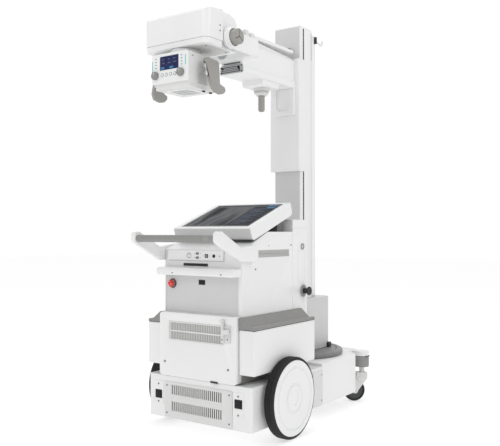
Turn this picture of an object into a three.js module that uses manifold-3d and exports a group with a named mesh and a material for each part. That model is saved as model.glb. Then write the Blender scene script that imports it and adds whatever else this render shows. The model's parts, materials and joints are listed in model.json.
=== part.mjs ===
// Mobile X-ray unit: a powered cart with a console and monitor, a swivelling column at its
// front, and a telescopic arm that carries the tube head and collimator back over the console.
// Millimetres. X is to the right, Y is forward (the operator stands at -Y), Z is up.
// Y = 0 in this source is the drive axle; the finished group is moved so that its origin is
// on the floor, at the middle of the object's bounding box.

import * as THREE from 'three';
import { mergeVertices } from 'three/addons/utils/BufferGeometryUtils.js';
import Module from 'manifold-3d';

const wasm = await Module();
wasm.setup();

// ---------------------------------------------------------------- driving dimensions

const GAP = 0.4; // kept between neighbouring pieces
const WALL = 4; // thickness of moulded and sheet covers

// base and wheels
const TRACK_OUTER = 350; // outer face of a drive wheel
const WHEEL_R = 175;
const TYRE_INNER_FACE = 300;
const TYRE_BEAD_R = 150;
const WHEEL_COVER_R = 164;
const WHEEL_COVER_T = 4;
const WHEEL_SEGMENTS = 44;
const AXLE_R = 12;
const BASE_HALF = 284;
const BASE_REAR = -234;
const BASE_SPLIT = 348; // rear tub ends here and the front housing starts
const BASE_BOTTOM = 65;
const BASE_TOP = 250;
const DECK_TOP = 262;
const DECK_BOTTOM = 205;
const CORNER_Y = 700; // the front corners are cut away past here, for the casters
const NOSE_Y = 850;
const NOSE_HALF = 150;
const DECK_NOTCH_X = 224;

// casters
const CASTER = { x: 268, y: 804, wheelR: 56, wheelT: 30, trail: 42, heading: -136.2 };
const CASTER_CAP_R = 38;
const CASTER_CAP_BOTTOM = 180;
const CASTER_STEM_R = 13;
const FORK_TOP = 150;
const FORK_CROWN_BOTTOM = 120;

// body, console and handle
const FRAME_TOP = 294.6;
const FRAME_FRONT = 324; // stops short of the turret ring
const CABINET = { half: 213.4, rear: -206, front: 330, bottom: 295, top: 891 };
const RAISED = { rear: 200, top: 948 };
const CONSOLE_BREAK_Y = -7; // the console top slopes down towards the operator from here
const CONSOLE_SLOPE_Y = -130;
const CONSOLE_SLOPE_Z = 838;
const POD = { outer: 296, rear: -229, front: 264, bottom: 295, top: 484 };
const LEDGE_INNER_Z = 532;
const SERVICE = { half: 213, rear: -241.6, bottom: 253, top: 534 };
const VENT_PLATE = { half: 187, bottom: 68, top: 226, proud: 3.6 };
const SHELF = { rear: -266, bottom: 700.6, top: 736 };
const CONNECTOR_PLATE = { left: -191, right: 121, bottom: 766, top: 809, proud: 7 };
const HANDLE = { barY: -380, barZ: 862, barR: 15.5, armInner: 213.8, armOuter: 237 };
const MONITOR = { half: 216, frontY: -149, frontZ: 906, length: 347, thick: 60, tilt: 20.4 };
const SCREEN = { half: 188, length: 301, front: 26, depth: 5 };
const STOP_BUTTON = { x: -166.6, z: 660.5, headR: 17, stemR: 9 };
const POWER_BUTTON = { x: -66.6, z: 786, r: 9 };
const BOBBIN = { y: 292, z: 611, length: 38 };

// column
const COLUMN_Y = 571.5;
const COLUMN_HALF = 76.5;
const COLUMN_REAR = 495;
const COLUMN_SPLIT = 606; // front cover starts here
const COLUMN_FRONT = 648;
const COLUMN_TOP = 1950;
const SLOT_Y = 527;
const SLOT_W = 6;
const TURRET_R = 245;
const TURRET_TOP = 288;
const PIVOT_R = 110;
const FOOT = { half: 135, rear: 440, front: 714, top: 552 };

// carriage and arm
const CARRIAGE = { half: 88, rear: 466, front: 523, bottom: 1201, top: 1775 };
const ARM_AXIS_Z = 1704; // roll axis of the yoke and tilt axis of the tube head
const SLEEVE = { half: 60, end: 11, bottom: 1650, top: 1760 };
const RAIL_CHANNEL = { half: 68, bottom: 1621 };
const RAIL = { half: 61.6, bottom: 1625.4, top: 1661.6, front: 439.6 };
const ARM = { half: 44, low: 1668, high: 1740, end: -9, front: 430 };
const GRIP = { y: 255, blockHalf: 60, blockRear: 175, blockFront: 330, blockBottom: 1592 };
const GRIP_BOTTOM = 1478;
const GRIP_R = 16;
const COLLAR_R = 40;
const COLLAR_BOTTOM = 1557;

// yoke, tube head and collimator
const YOKE = { outer: 178, inner: 160, half: 37, crossRear: -60, crossFront: -10 };
const JOURNAL_R = 30;
const TILT_Y = -235;
const TRUNNION_R = 12;
const KNOB = { r: 33, collarR: 35, collar: 192, face: 224 };
const TUBE = { half: 174.5, rear: -389.6, front: -165, top: 1800, crown: 1812, seam: 1681, bottom: 1657 };
const TUBE_FLANK = 157; // half width beside the yoke arms
const TUBE_STEP_Y = -283;
const TUBE_CORNER = 30;
const INSERT = { r: 48, half: 128, y: -285, z: 1742 };
const COLLIMATOR = { half: 97.5, rear: -409, front: -221, y: -320, bottom: 1500, top: 1628 };
const COLLIMATOR_NECK_R = 62;
const COLLIMATOR_FOOT = 1484;
const PANEL = { half: 98, face: -419, bottom: 1506, top: 1630 };
const PANEL_KNOBS = [['left', -76], ['right', 63]];
const PANEL_KNOB = { r: 17, proud: 14, z: 1542 };
const PANEL_BUTTONS = { first: -40, pitch: 23, r: 5.4, z: 1541, proud: 2.4 };
const GRAB = { inner: 158, outer: 172, footZ: 1470, splay: 15, postR: 10, postY: -310, postZ: 1586, postEnd: 132 };
const LEVER = { y: -356, z: 1556, long: 52, wide: 8, travel: 6 };

// The origin sits on the floor midway between the rearmost knob and the nose.
const ORIGIN_Y = (NOSE_Y + PANEL.face - PANEL_KNOB.proud) / 2;

// ---------------------------------------------------------------- materials

function paint(color, roughness, metalness = 0) {
  return new THREE.MeshStandardMaterial({ color, roughness, metalness });
}

const white = paint(0xeff0ef, 0.38);
const warmWhite = paint(0xe4e5e4, 0.45);
const grey = paint(0x9b9d9e, 0.5);
const darkGrey = paint(0x55585a, 0.55);
const black = paint(0x1b1c1d, 0.6);
const tyreRubber = paint(0x161616, 0.85);
const aluminium = paint(0x9a9c9f, 0.4, 0.85);
const steel = paint(0x6b6e72, 0.45, 0.8);
const glassBlack = paint(0x14181d, 0.15);
const red = paint(0xc8201c, 0.35);
const copper = paint(0xa4744a, 0.4, 0.8);

// ---------------------------------------------------------------- geometry helpers

// Leaves only merged positions, with every face turned outwards.
function closed(geometry) {
  const bare = new THREE.BufferGeometry();
  bare.setAttribute('position', geometry.getAttribute('position').clone());
  if (geometry.index) {
    bare.setIndex(geometry.index.clone());
  }
  const merged = mergeVertices(bare, 1e-4);
  const p = merged.getAttribute('position');
  const index = Array.from(merged.index.array);
  const kept = [];
  const [a, b, c] = [new THREE.Vector3(), new THREE.Vector3(), new THREE.Vector3()];
  let volume = 0;
  for (let i = 0; i < index.length; i += 3) {
    const [i0, i1, i2] = index.slice(i, i + 3);
    if (i0 === i1 || i1 === i2 || i2 === i0) {
      continue;
    }
    kept.push(i0, i1, i2);
    a.fromBufferAttribute(p, i0);
    b.fromBufferAttribute(p, i1);
    c.fromBufferAttribute(p, i2);
    volume += a.dot(b.cross(c));
  }
  merged.setIndex(volume < 0 ? kept.reverse() : kept);
  return merged;
}

function toManifold(geometry) {
  const shape = closed(geometry);
  return new wasm.Manifold(new wasm.Mesh({
    numProp: 3,
    vertProperties: new Float32Array(shape.getAttribute('position').array),
    triVerts: new Uint32Array(shape.index.array),
  }));
}

function fromManifold(manifold) {
  const mesh = manifold.getMesh();
  const geometry = new THREE.BufferGeometry();
  geometry.setAttribute('position', new THREE.BufferAttribute(new Float32Array(mesh.vertProperties), 3));
  geometry.setIndex(Array.from(mesh.triVerts));
  return geometry;
}

function join(first, ...others) {
  return fromManifold(others.reduce((sum, g) => sum.add(toManifold(g)), toManifold(first)));
}

function cut(first, ...tools) {
  return fromManifold(tools.reduce((rest, g) => rest.subtract(toManifold(g)), toManifold(first)));
}

function common(first, second) {
  return fromManifold(toManifold(first).intersect(toManifold(second)));
}

function block(x0, x1, y0, y1, z0, z1) {
  const box = new THREE.BoxGeometry(x1 - x0, y1 - y0, z1 - z0);
  return box.translate((x0 + x1) / 2, (y0 + y1) / 2, (z0 + z1) / 2);
}

// A rectangle with rounded corners; radii are given as [x0y0, x1y0, x1y1, x0y1].
function roundedRect(x0, x1, y0, y1, radii) {
  const [r00, r10, r11, r01] = Array.isArray(radii) ? radii : [radii, radii, radii, radii];
  const shape = new THREE.Shape();
  shape.moveTo(x0 + r00, y0);
  shape.lineTo(x1 - r10, y0);
  if (r10) shape.absarc(x1 - r10, y0 + r10, r10, -Math.PI / 2, 0);
  shape.lineTo(x1, y1 - r11);
  if (r11) shape.absarc(x1 - r11, y1 - r11, r11, 0, Math.PI / 2);
  shape.lineTo(x0 + r01, y1);
  if (r01) shape.absarc(x0 + r01, y1 - r01, r01, Math.PI / 2, Math.PI);
  shape.lineTo(x0, y0 + r00);
  if (r00) shape.absarc(x0 + r00, y0 + r00, r00, Math.PI, Math.PI * 1.5);
  return shape;
}

function outline(points) {
  return new THREE.Shape(points.map(([x, y]) => new THREE.Vector2(x, y)));
}

// An outline in plan, raised from z0 to z1.
function raised(shape, z0, z1, curveSegments = 5) {
  const solid = new THREE.ExtrudeGeometry(shape, { depth: z1 - z0, bevelEnabled: false, curveSegments });
  return solid.translate(0, 0, z0);
}

// An outline in the Y-Z plane, carried along X from x0 to x1.
function alongX(shape, x0, x1, curveSegments = 5) {
  const solid = new THREE.ExtrudeGeometry(shape, { depth: x1 - x0, bevelEnabled: false, curveSegments });
  const turn = new THREE.Matrix4().makeBasis(
    new THREE.Vector3(0, 1, 0), new THREE.Vector3(0, 0, 1), new THREE.Vector3(1, 0, 0));
  return solid.applyMatrix4(turn).translate(x0, 0, 0);
}

// An outline in the X-Z plane, carried along Y from y0 to y1.
function alongY(shape, y0, y1, curveSegments = 5) {
  const solid = new THREE.ExtrudeGeometry(shape, { depth: y1 - y0, bevelEnabled: false, curveSegments });
  const turn = new THREE.Matrix4().makeBasis(
    new THREE.Vector3(1, 0, 0), new THREE.Vector3(0, 0, 1), new THREE.Vector3(0, -1, 0));
  return solid.applyMatrix4(turn).translate(0, y1, 0);
}

// A turned piece: [radius, height] pairs that start and end on the axis or close on themselves.
function turned(profile, segments = 20) {
  const lathe = new THREE.LatheGeometry(profile.map(([r, h]) => new THREE.Vector2(r, h)), segments);
  return lathe.rotateX(Math.PI / 2);
}

function rod(r, h0, h1, segments = 20) {
  return turned([[0, h0], [r, h0], [r, h1], [0, h1]], segments);
}

// Stands a turned piece's axis along +X or along -Y, through the given point.
function turnedAlongX(geometry, y, z) {
  return geometry.rotateY(Math.PI / 2).translate(0, y, z);
}

function turnedTowardsOperator(geometry, x, z) {
  return geometry.rotateX(Math.PI / 2).translate(x, 0, z);
}

function mirrored(geometry) {
  return geometry.clone().scale(-1, 1, 1);
}

const unit = new THREE.Group();
unit.position.y = -ORIGIN_Y;

function add(name, material, geometry, parent = unit) {
  const mesh = new THREE.Mesh(closed(geometry), material);
  mesh.name = name;
  parent.add(mesh);
  return mesh;
}

// Adds a right-hand piece and its mirror image.
function addPair(name, material, geometry) {
  add(`${name}_right`, material, geometry);
  add(`${name}_left`, material, mirrored(geometry));
}

// ---------------------------------------------------------------- base

function buildBase() {
  const tub = cut(
    raised(roundedRect(-BASE_HALF, BASE_HALF, BASE_REAR, BASE_SPLIT, [14, 14, 0, 0]), BASE_BOTTOM, BASE_TOP),
    block(-BASE_HALF + 8, BASE_HALF - 8, BASE_REAR + 8, BASE_SPLIT - 8, BASE_BOTTOM + 8, BASE_TOP + 10),
    turnedAlongX(rod(AXLE_R + 1, -BASE_HALF - 5, BASE_HALF + 5), 0, WHEEL_R),
  );
  add('base_tub', white, tub);

  const ring = cut(
    block(-262, 262, CABINET.rear, FRAME_FRONT, BASE_TOP + GAP, FRAME_TOP),
    block(-190, 190, -190, 310, BASE_TOP - 5, FRAME_TOP + 5),
  );
  add('chassis_frame', darkGrey, ring);

  const lower = outline([
    [-BASE_HALF, BASE_SPLIT + GAP], [BASE_HALF, BASE_SPLIT + GAP],
    [BASE_HALF, CORNER_Y], [NOSE_HALF, CORNER_Y], [NOSE_HALF, NOSE_Y - 30], [NOSE_HALF - 30, NOSE_Y],
    [-NOSE_HALF + 30, NOSE_Y], [-NOSE_HALF, NOSE_Y - 30], [-NOSE_HALF, CORNER_Y], [-BASE_HALF, CORNER_Y],
  ]);
  const deck = outline([
    [-BASE_HALF, BASE_SPLIT + GAP], [BASE_HALF, BASE_SPLIT + GAP],
    [BASE_HALF, CORNER_Y], [DECK_NOTCH_X, CORNER_Y + 44], [DECK_NOTCH_X, NOSE_Y - 16], [DECK_NOTCH_X - 16, NOSE_Y],
    [-DECK_NOTCH_X + 16, NOSE_Y], [-DECK_NOTCH_X, NOSE_Y - 16], [-DECK_NOTCH_X, CORNER_Y + 44],
    [-BASE_HALF, CORNER_Y],
  ]);
  const hollow = block(-270, 270, BASE_SPLIT + 12, CORNER_Y - 12, BASE_BOTTOM - 5, DECK_TOP - 14);
  const front = cut(
    join(raised(lower, BASE_BOTTOM, DECK_TOP), raised(deck, DECK_BOTTOM, DECK_TOP)),
    hollow,
    rod(PIVOT_R + 10, DECK_BOTTOM, DECK_TOP + 5, 32).translate(0, COLUMN_Y, 0),
  );
  add('front_housing', white, front);

  add('vent_plate', warmWhite, alongY(
    roundedRect(-VENT_PLATE.half, VENT_PLATE.half, VENT_PLATE.bottom, VENT_PLATE.top, 6),
    BASE_REAR - GAP - VENT_PLATE.proud, BASE_REAR - GAP));
}

// Two shafts, a gearbox and its motors, held in the tub.
function buildDrive() {
  const drive = join(
    block(-210, 210, -42, 42, 128, 222),
    turnedAlongX(rod(AXLE_R, -TRACK_OUTER + 12, TRACK_OUTER - 12), 0, WHEEL_R),
  );
  add('drive_unit', steel, drive);
  add('battery_pack', black, block(-185, 185, 70, 300, 80, 240));
}

function buildDriveWheels() {
  const shoulder = 9;
  const coverInner = TRACK_OUTER - WHEEL_COVER_T;
  const tyre = turned([
    [TYRE_BEAD_R, TYRE_INNER_FACE], [WHEEL_R - shoulder, TYRE_INNER_FACE],
    [WHEEL_R - 2, TYRE_INNER_FACE + 4], [WHEEL_R, TYRE_INNER_FACE + shoulder],
    [WHEEL_R, coverInner - shoulder], [WHEEL_R - 2, coverInner - 4], [WHEEL_R - shoulder, coverInner - GAP],
    [TYRE_BEAD_R, coverInner - GAP], [TYRE_BEAD_R, TYRE_INNER_FACE],
  ], WHEEL_SEGMENTS);
  addPair('tyre', tyreRubber, turnedAlongX(tyre, 0, WHEEL_R));

  const rimR = TYRE_BEAD_R - GAP;
  const bore = AXLE_R + GAP;
  const hub = turned([
    [bore, TYRE_INNER_FACE + 6], [60, TYRE_INNER_FACE + 6], [70, TYRE_INNER_FACE + 20],
    [rimR - 8, TYRE_INNER_FACE + 20], [rimR - 8, TYRE_INNER_FACE + 4], [rimR, TYRE_INNER_FACE + 4],
    [rimR, coverInner], [WHEEL_COVER_R, coverInner], [WHEEL_COVER_R, TRACK_OUTER - 1.5],
    [WHEEL_COVER_R - 3, TRACK_OUTER], [0, TRACK_OUTER], [0, TRACK_OUTER - 8],
    [bore, TRACK_OUTER - 8], [bore, TYRE_INNER_FACE + 6],
  ], WHEEL_SEGMENTS);
  addPair('wheel_hub', white, turnedAlongX(hub, 0, WHEEL_R));
}

// ---------------------------------------------------------------- casters

// Builds a caster piece at its swivel axis with the wheel trailing along +X, then turns it.
function placeCaster(geometry) {
  return geometry.rotateZ(THREE.MathUtils.degToRad(CASTER.heading)).translate(CASTER.x, CASTER.y, 0);
}

function buildCasters() {
  const linkHalf = 26;
  const cap = cut(
    join(
      rod(CASTER_CAP_R, CASTER_CAP_BOTTOM, DECK_TOP, 28).translate(CASTER.x, CASTER.y, 0),
      block(DECK_NOTCH_X + GAP, CASTER.x, CASTER.y - linkHalf, CASTER.y + linkHalf, DECK_BOTTOM - 10, DECK_TOP),
    ),
    rod(CASTER_STEM_R + GAP, CASTER_CAP_BOTTOM - 5, DECK_TOP - 22).translate(CASTER.x, CASTER.y, 0),
  );
  addPair('caster_cap', grey, cap);

  const legInner = CASTER.wheelT / 2 + 3;
  const legT = 5;
  const legShape = new THREE.Shape();
  legShape.moveTo(-24, FORK_TOP);
  legShape.lineTo(-24, FORK_CROWN_BOTTOM);
  legShape.lineTo(CASTER.trail - 15, CASTER.wheelR);
  legShape.absarc(CASTER.trail, CASTER.wheelR, 15, Math.PI, 2 * Math.PI);
  legShape.lineTo(30, FORK_TOP);
  const leg = alongY(legShape, legInner, legInner + legT);
  const fork = join(
    block(-24, 30, -legInner - legT, legInner + legT, FORK_CROWN_BOTTOM, FORK_TOP),
    leg,
    leg.clone().translate(0, -2 * legInner - legT, 0),
    rod(CASTER_STEM_R, FORK_TOP - 5, DECK_TOP - 26),
    turnedTowardsOperator(rod(6, -legInner - 2, legInner + 2, 16), CASTER.trail, CASTER.wheelR),
  );
  addPair('caster_fork', warmWhite, placeCaster(fork));

  const half = CASTER.wheelT / 2;
  const wheel = turned([
    [6 + GAP, -half - 1], [14, -half - 1], [16, -half + 3], [CASTER.wheelR - 10, -half + 3],
    [CASTER.wheelR - 6, -half], [CASTER.wheelR, -half + 7], [CASTER.wheelR, half - 7], [CASTER.wheelR - 6, half],
    [CASTER.wheelR - 10, half - 3], [16, half - 3], [14, half + 1], [6 + GAP, half + 1], [6 + GAP, -half - 1],
  ], 24);
  addPair('caster_wheel', tyreRubber, placeCaster(turnedTowardsOperator(wheel, CASTER.trail, CASTER.wheelR)));
}

// ---------------------------------------------------------------- cabinet and console

function consoleProfile(inset) {
  const { rear, front, bottom, top } = CABINET;
  const slopeEndZ = CONSOLE_SLOPE_Z - (CONSOLE_SLOPE_Y - rear) * 0.34;
  return outline([
    [rear + inset, inset ? bottom - 5 : bottom], [front - inset, inset ? bottom - 5 : bottom],
    [front - inset, RAISED.top - inset], [RAISED.rear + inset, RAISED.top - inset],
    [RAISED.rear + inset, top - inset], [CONSOLE_BREAK_Y + inset * 0.2, top - inset],
    [CONSOLE_SLOPE_Y + inset * 0.2, CONSOLE_SLOPE_Z - inset], [rear + inset, slopeEndZ - inset],
  ]);
}

function buildCabinet() {
  const shell = cut(
    alongX(consoleProfile(0), -CABINET.half, CABINET.half),
    alongX(consoleProfile(WALL), -CABINET.half + WALL, CABINET.half - WALL),
    turnedTowardsOperator(rod(STOP_BUTTON.stemR + 1, -20, 20), STOP_BUTTON.x, STOP_BUTTON.z)
      .translate(0, CABINET.rear, 0),
  );
  add('cabinet_shell', white, shell);
  add('generator', aluminium, block(-180, 180, -150, 150, 300, 560));
  add('computer_unit', steel, block(-170, 170, -150, 110, 620, 790));

  const service = cut(
    alongY(roundedRect(-SERVICE.half, SERVICE.half, SERVICE.bottom, SERVICE.top, 16),
      SERVICE.rear, CABINET.rear - GAP),
    alongY(roundedRect(-SERVICE.half + WALL, SERVICE.half - WALL, SERVICE.bottom + WALL, SERVICE.top - WALL, 12),
      SERVICE.rear + WALL, CABINET.rear + 5),
  );
  add('rear_service_panel', white, service);

  const inner = CABINET.half + GAP;
  addPair('side_pod', white, alongY(
    roundedRect(inner, POD.outer, POD.bottom, POD.top, [0, 10, 0, 0]), POD.rear, POD.front));
  addPair('side_ledge', grey, alongY(
    outline([[inner, POD.top + GAP], [POD.outer, POD.top + GAP], [POD.outer, POD.top + 4], [inner, LEDGE_INNER_Z]]),
    POD.rear, POD.front));

  const shelf = alongX(outline([
    [CABINET.rear - GAP, SHELF.bottom], [CABINET.rear - GAP, SHELF.top], [SHELF.rear + 8, SHELF.top - 3],
    [SHELF.rear, SHELF.top - 10], [SHELF.rear, SHELF.bottom + 6], [SHELF.rear + 6, SHELF.bottom],
  ]), -CABINET.half, CABINET.half);
  add('work_shelf', white, shelf);

  const plate = cut(
    alongY(roundedRect(CONNECTOR_PLATE.left, CONNECTOR_PLATE.right, CONNECTOR_PLATE.bottom, CONNECTOR_PLATE.top, 5),
      CABINET.rear - GAP - CONNECTOR_PLATE.proud, CABINET.rear - GAP),
    turnedTowardsOperator(rod(POWER_BUTTON.r + 0.6, -20, 20), POWER_BUTTON.x, POWER_BUTTON.z)
      .translate(0, CABINET.rear, 0),
  );
  add('connector_plate', warmWhite, plate);

  const flange = 27;
  const neck = 12;
  const disc = 20;
  const bobbin = turned([
    [0, 0], [flange, 0], [flange, 5], [neck, 7], [neck, BOBBIN.length - 8], [disc, BOBBIN.length - 6],
    [disc, BOBBIN.length], [0, BOBBIN.length],
  ]);
  add('cord_bobbin', black, turnedAlongX(bobbin, BOBBIN.y, BOBBIN.z).translate(CABINET.half + GAP, 0, 0));
}

function buildButtons() {
  const face = CABINET.rear;
  const { headR, stemR } = STOP_BUTTON;
  const stop = turned([
    [0, -10], [stemR, -10], [stemR, 8], [headR, 8], [headR, 14], [headR - 3, 20], [headR - 8, 23], [0, 24],
  ]);
  add('stop_button', red, turnedTowardsOperator(stop, STOP_BUTTON.x, STOP_BUTTON.z).translate(0, face, 0));

  const power = turned([[0, 2.8], [POWER_BUTTON.r, 2.8], [POWER_BUTTON.r, 6], [POWER_BUTTON.r - 1.5, 7], [0, 7]]);
  add('power_button', warmWhite, turnedTowardsOperator(power, POWER_BUTTON.x, POWER_BUTTON.z)
    .translate(0, face, 0));
}

function buildHandle() {
  const { barY, barZ, barR, armInner, armOuter } = HANDLE;
  const arm = alongX(outline([
    [-130, 762], [-130, 836], [-237, 825], [-366, 892], [-394, 892], [-404, 882], [-404, 852], [-395, 842],
    [-232, 764],
  ]), armInner, armOuter);
  addPair('handle_arm', white, arm);
  const end = armInner - GAP;
  add('handle_bar', grey, turnedAlongX(rod(barR, -end, end, 24), barY, barZ));
}

function buildMonitor() {
  const tilted = new THREE.Group();
  tilted.position.set(0, MONITOR.frontY, MONITOR.frontZ);
  tilted.rotation.x = THREE.MathUtils.degToRad(MONITOR.tilt);
  unit.add(tilted);

  const { half, length, thick } = MONITOR;
  const recess = block(-SCREEN.half - GAP, SCREEN.half + GAP, SCREEN.front - GAP,
    SCREEN.front + SCREEN.length + GAP, -SCREEN.depth - GAP, 10);
  const shell = cut(
    alongX(roundedRect(0, length, -thick, 0, [22, 22, 6, 6]), -half, half, 4),
    recess,
  );
  add('monitor_shell', white, shell, tilted);
  add('monitor_screen', glassBlack, block(-SCREEN.half, SCREEN.half, SCREEN.front,
    SCREEN.front + SCREEN.length, -SCREEN.depth, -0.8), tilted);

  add('monitor_mount', darkGrey, alongX(outline([
    [140, CABINET.top + GAP], [190, CABINET.top + GAP], [186, 944], [140, 936],
  ]), -168, 168));
}

// ---------------------------------------------------------------- column

function buildColumn() {
  const turret = turned([
    [PIVOT_R + 1, DECK_TOP + GAP], [TURRET_R, DECK_TOP + GAP], [TURRET_R, TURRET_TOP - 6],
    [TURRET_R - 6, TURRET_TOP], [PIVOT_R + 1, TURRET_TOP], [PIVOT_R + 1, DECK_TOP + GAP],
  ], WHEEL_SEGMENTS);
  add('turret_ring', grey, turret.translate(0, COLUMN_Y, 0));

  const wall = 8;
  const slotTop = COLUMN_TOP - wall - 4;
  const slotFloor = FOOT.top + 6;
  const slots = [-1, 1].map((side) => {
    const outer = side * (COLUMN_HALF + 2);
    const inner = side * (COLUMN_HALF - wall - 2);
    return block(Math.min(outer, inner), Math.max(outer, inner),
      SLOT_Y - SLOT_W / 2, SLOT_Y + SLOT_W / 2, slotFloor, slotTop);
  });
  const mast = join(
    block(-COLUMN_HALF, COLUMN_HALF, COLUMN_REAR, COLUMN_SPLIT, DECK_TOP + 4, COLUMN_TOP),
    rod(PIVOT_R, DECK_TOP - 30, TURRET_TOP + 14, 32).translate(0, COLUMN_Y, 0),
  );
  const hollow = block(-COLUMN_HALF + wall, COLUMN_HALF - wall, COLUMN_REAR + wall, COLUMN_SPLIT - wall,
    TURRET_TOP + 14, COLUMN_TOP - wall);
  const cableWay = rod(40, DECK_TOP - 35, TURRET_TOP + 20).translate(0, COLUMN_Y - 20, 0);
  add('mast', white, cut(mast, ...slots, hollow, cableWay));

  add('mast_front_cover', white, alongX(outline([
    [COLUMN_SPLIT + GAP, FOOT.top + 1], [COLUMN_FRONT, FOOT.top + 1],
    [COLUMN_FRONT, 1800], [COLUMN_SPLIT + GAP, 1880],
  ]), -COLUMN_HALF, COLUMN_HALF));

  const cover = cut(
    raised(roundedRect(-FOOT.half, FOOT.half, FOOT.rear, FOOT.front, 45), TURRET_TOP + GAP, FOOT.top),
    raised(roundedRect(-FOOT.half + WALL, FOOT.half - WALL, FOOT.rear + WALL, FOOT.front - WALL, 41),
      TURRET_TOP - 5, FOOT.top - WALL),
    block(-COLUMN_HALF - GAP, COLUMN_HALF + GAP, COLUMN_REAR - GAP, COLUMN_SPLIT + GAP, TURRET_TOP, FOOT.top + 5),
  );
  add('foot_cover', warmWhite, cover);
}

// ---------------------------------------------------------------- carriage and arm

function buildCarriage() {
  const { half, rear, front, bottom, top } = CARRIAGE;
  const run = 0.8;
  const saddle = cut(
    block(-half, half, rear, front, bottom, top),
    block(-COLUMN_HALF - run, COLUMN_HALF + run, COLUMN_REAR - run, front + 5, bottom - 5, top + 5),
  );
  add('carriage', white, saddle);

  const root = rear - GAP;
  const channelTop = SLEEVE.bottom;
  const sleeveTop = alongX(outline([
    [SLEEVE.end + 4, SLEEVE.top - 5], [root, SLEEVE.top - 5], [root, 1774], [SLEEVE.end + 4, 1800],
  ]), -SLEEVE.half + 14, SLEEVE.half - 14);
  const gripBlock = alongX(outline([
    [GRIP.blockRear, RAIL_CHANNEL.bottom + 2], [GRIP.blockRear + 4, GRIP.blockBottom + 6],
    [GRIP.blockRear + 14, GRIP.blockBottom], [GRIP.blockFront - 14, GRIP.blockBottom],
    [GRIP.blockFront, RAIL_CHANNEL.bottom + 2],
  ]), -GRIP.blockHalf, GRIP.blockHalf);
  const sleeve = cut(
    join(
      block(-SLEEVE.half, SLEEVE.half, SLEEVE.end, root, SLEEVE.bottom - 5, SLEEVE.top),
      block(-RAIL_CHANNEL.half, RAIL_CHANNEL.half, SLEEVE.end, root, RAIL_CHANNEL.bottom, channelTop),
      sleeveTop,
      gripBlock,
    ),
    block(-RAIL.half - GAP, RAIL.half + GAP, SLEEVE.end - 5, RAIL.front + GAP, RAIL.bottom - GAP, channelTop - 2),
    block(-RAIL.half + 8, RAIL.half - 8, SLEEVE.end - 5, RAIL.front + GAP, RAIL.bottom, RAIL.top + GAP),
    block(-ARM.half - 2, ARM.half + 2, SLEEVE.end - 5, ARM.front + 6, ARM.low - 2, ARM.high + 2),
  );
  add('arm_sleeve', white, sleeve);
  add('arm_rail', aluminium, join(
    block(-RAIL.half, RAIL.half, SLEEVE.end + 1, RAIL.front, RAIL.bottom, channelTop - 2 - GAP),
    block(-RAIL.half + 8 + GAP, RAIL.half - 8 - GAP, SLEEVE.end + 1, RAIL.front, RAIL.bottom, RAIL.top),
  ));

  const grip = turned([
    [0, GRIP_BOTTOM], [GRIP_R - 7, GRIP_BOTTOM + 2], [GRIP_R, GRIP_BOTTOM + 10], [GRIP_R, COLLAR_BOTTOM],
    [COLLAR_R - 14, COLLAR_BOTTOM], [COLLAR_R, COLLAR_BOTTOM + 12], [COLLAR_R, GRIP.blockBottom - 5],
    [COLLAR_R - 3, GRIP.blockBottom - GAP], [0, GRIP.blockBottom - GAP],
  ]);
  add('arm_grip', grey, grip.translate(0, GRIP.y, 0));

  add('inner_arm', aluminium, join(
    block(-ARM.half, ARM.half, ARM.end, ARM.front, ARM.low, ARM.high),
    turnedTowardsOperator(rod(JOURNAL_R, -ARM.end - 2, -YOKE.crossRear, 32), 0, ARM_AXIS_Z),
  ));
}

// ---------------------------------------------------------------- yoke and tube head

function buildYoke() {
  const { outer, inner, half, crossRear, crossFront } = YOKE;
  const low = ARM_AXIS_Z - half;
  const high = ARM_AXIS_Z + half;
  const side = new THREE.Shape();
  side.moveTo(crossFront, low);
  side.lineTo(crossFront, high);
  side.lineTo(TILT_Y, high);
  side.absarc(TILT_Y, ARM_AXIS_Z, half, Math.PI / 2, Math.PI * 1.5);
  const arm = cut(
    alongX(side, inner, outer, 10),
    turnedAlongX(rod(TRUNNION_R + GAP, inner - 5, outer + 5), TILT_Y, ARM_AXIS_Z),
  );
  const yoke = cut(
    join(
      arm,
      mirrored(arm),
      raised(outline([
        [-outer + 2, crossRear], [outer - 2, crossRear], [outer - 2, crossFront - 24], [outer - 30, crossFront],
        [-outer + 30, crossFront], [-outer + 2, crossFront - 24],
      ]), low, high),
    ),
    turnedTowardsOperator(rod(JOURNAL_R + GAP, -20, 120, 32), 0, ARM_AXIS_Z),
    raised(outline([[outer + 5, crossFront - 26], [outer - 33, crossFront + 5], [outer + 5, crossFront + 5]]),
      low - 5, high + 5),
    raised(outline([[-outer - 5, crossFront - 26], [-outer + 33, crossFront + 5], [-outer - 5, crossFront + 5]]),
      low - 5, high + 5),
  );
  add('yoke', white, yoke);

  const knob = turned([
    [0, outer + GAP], [KNOB.collarR, outer + GAP], [KNOB.collarR, KNOB.collar - 2], [KNOB.r, KNOB.collar],
    [KNOB.r, KNOB.face - 3], [KNOB.r - 4, KNOB.face], [0, KNOB.face],
  ], 32);
  add('tilt_knob', grey, turnedAlongX(knob, TILT_Y, ARM_AXIS_Z));
}

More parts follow.
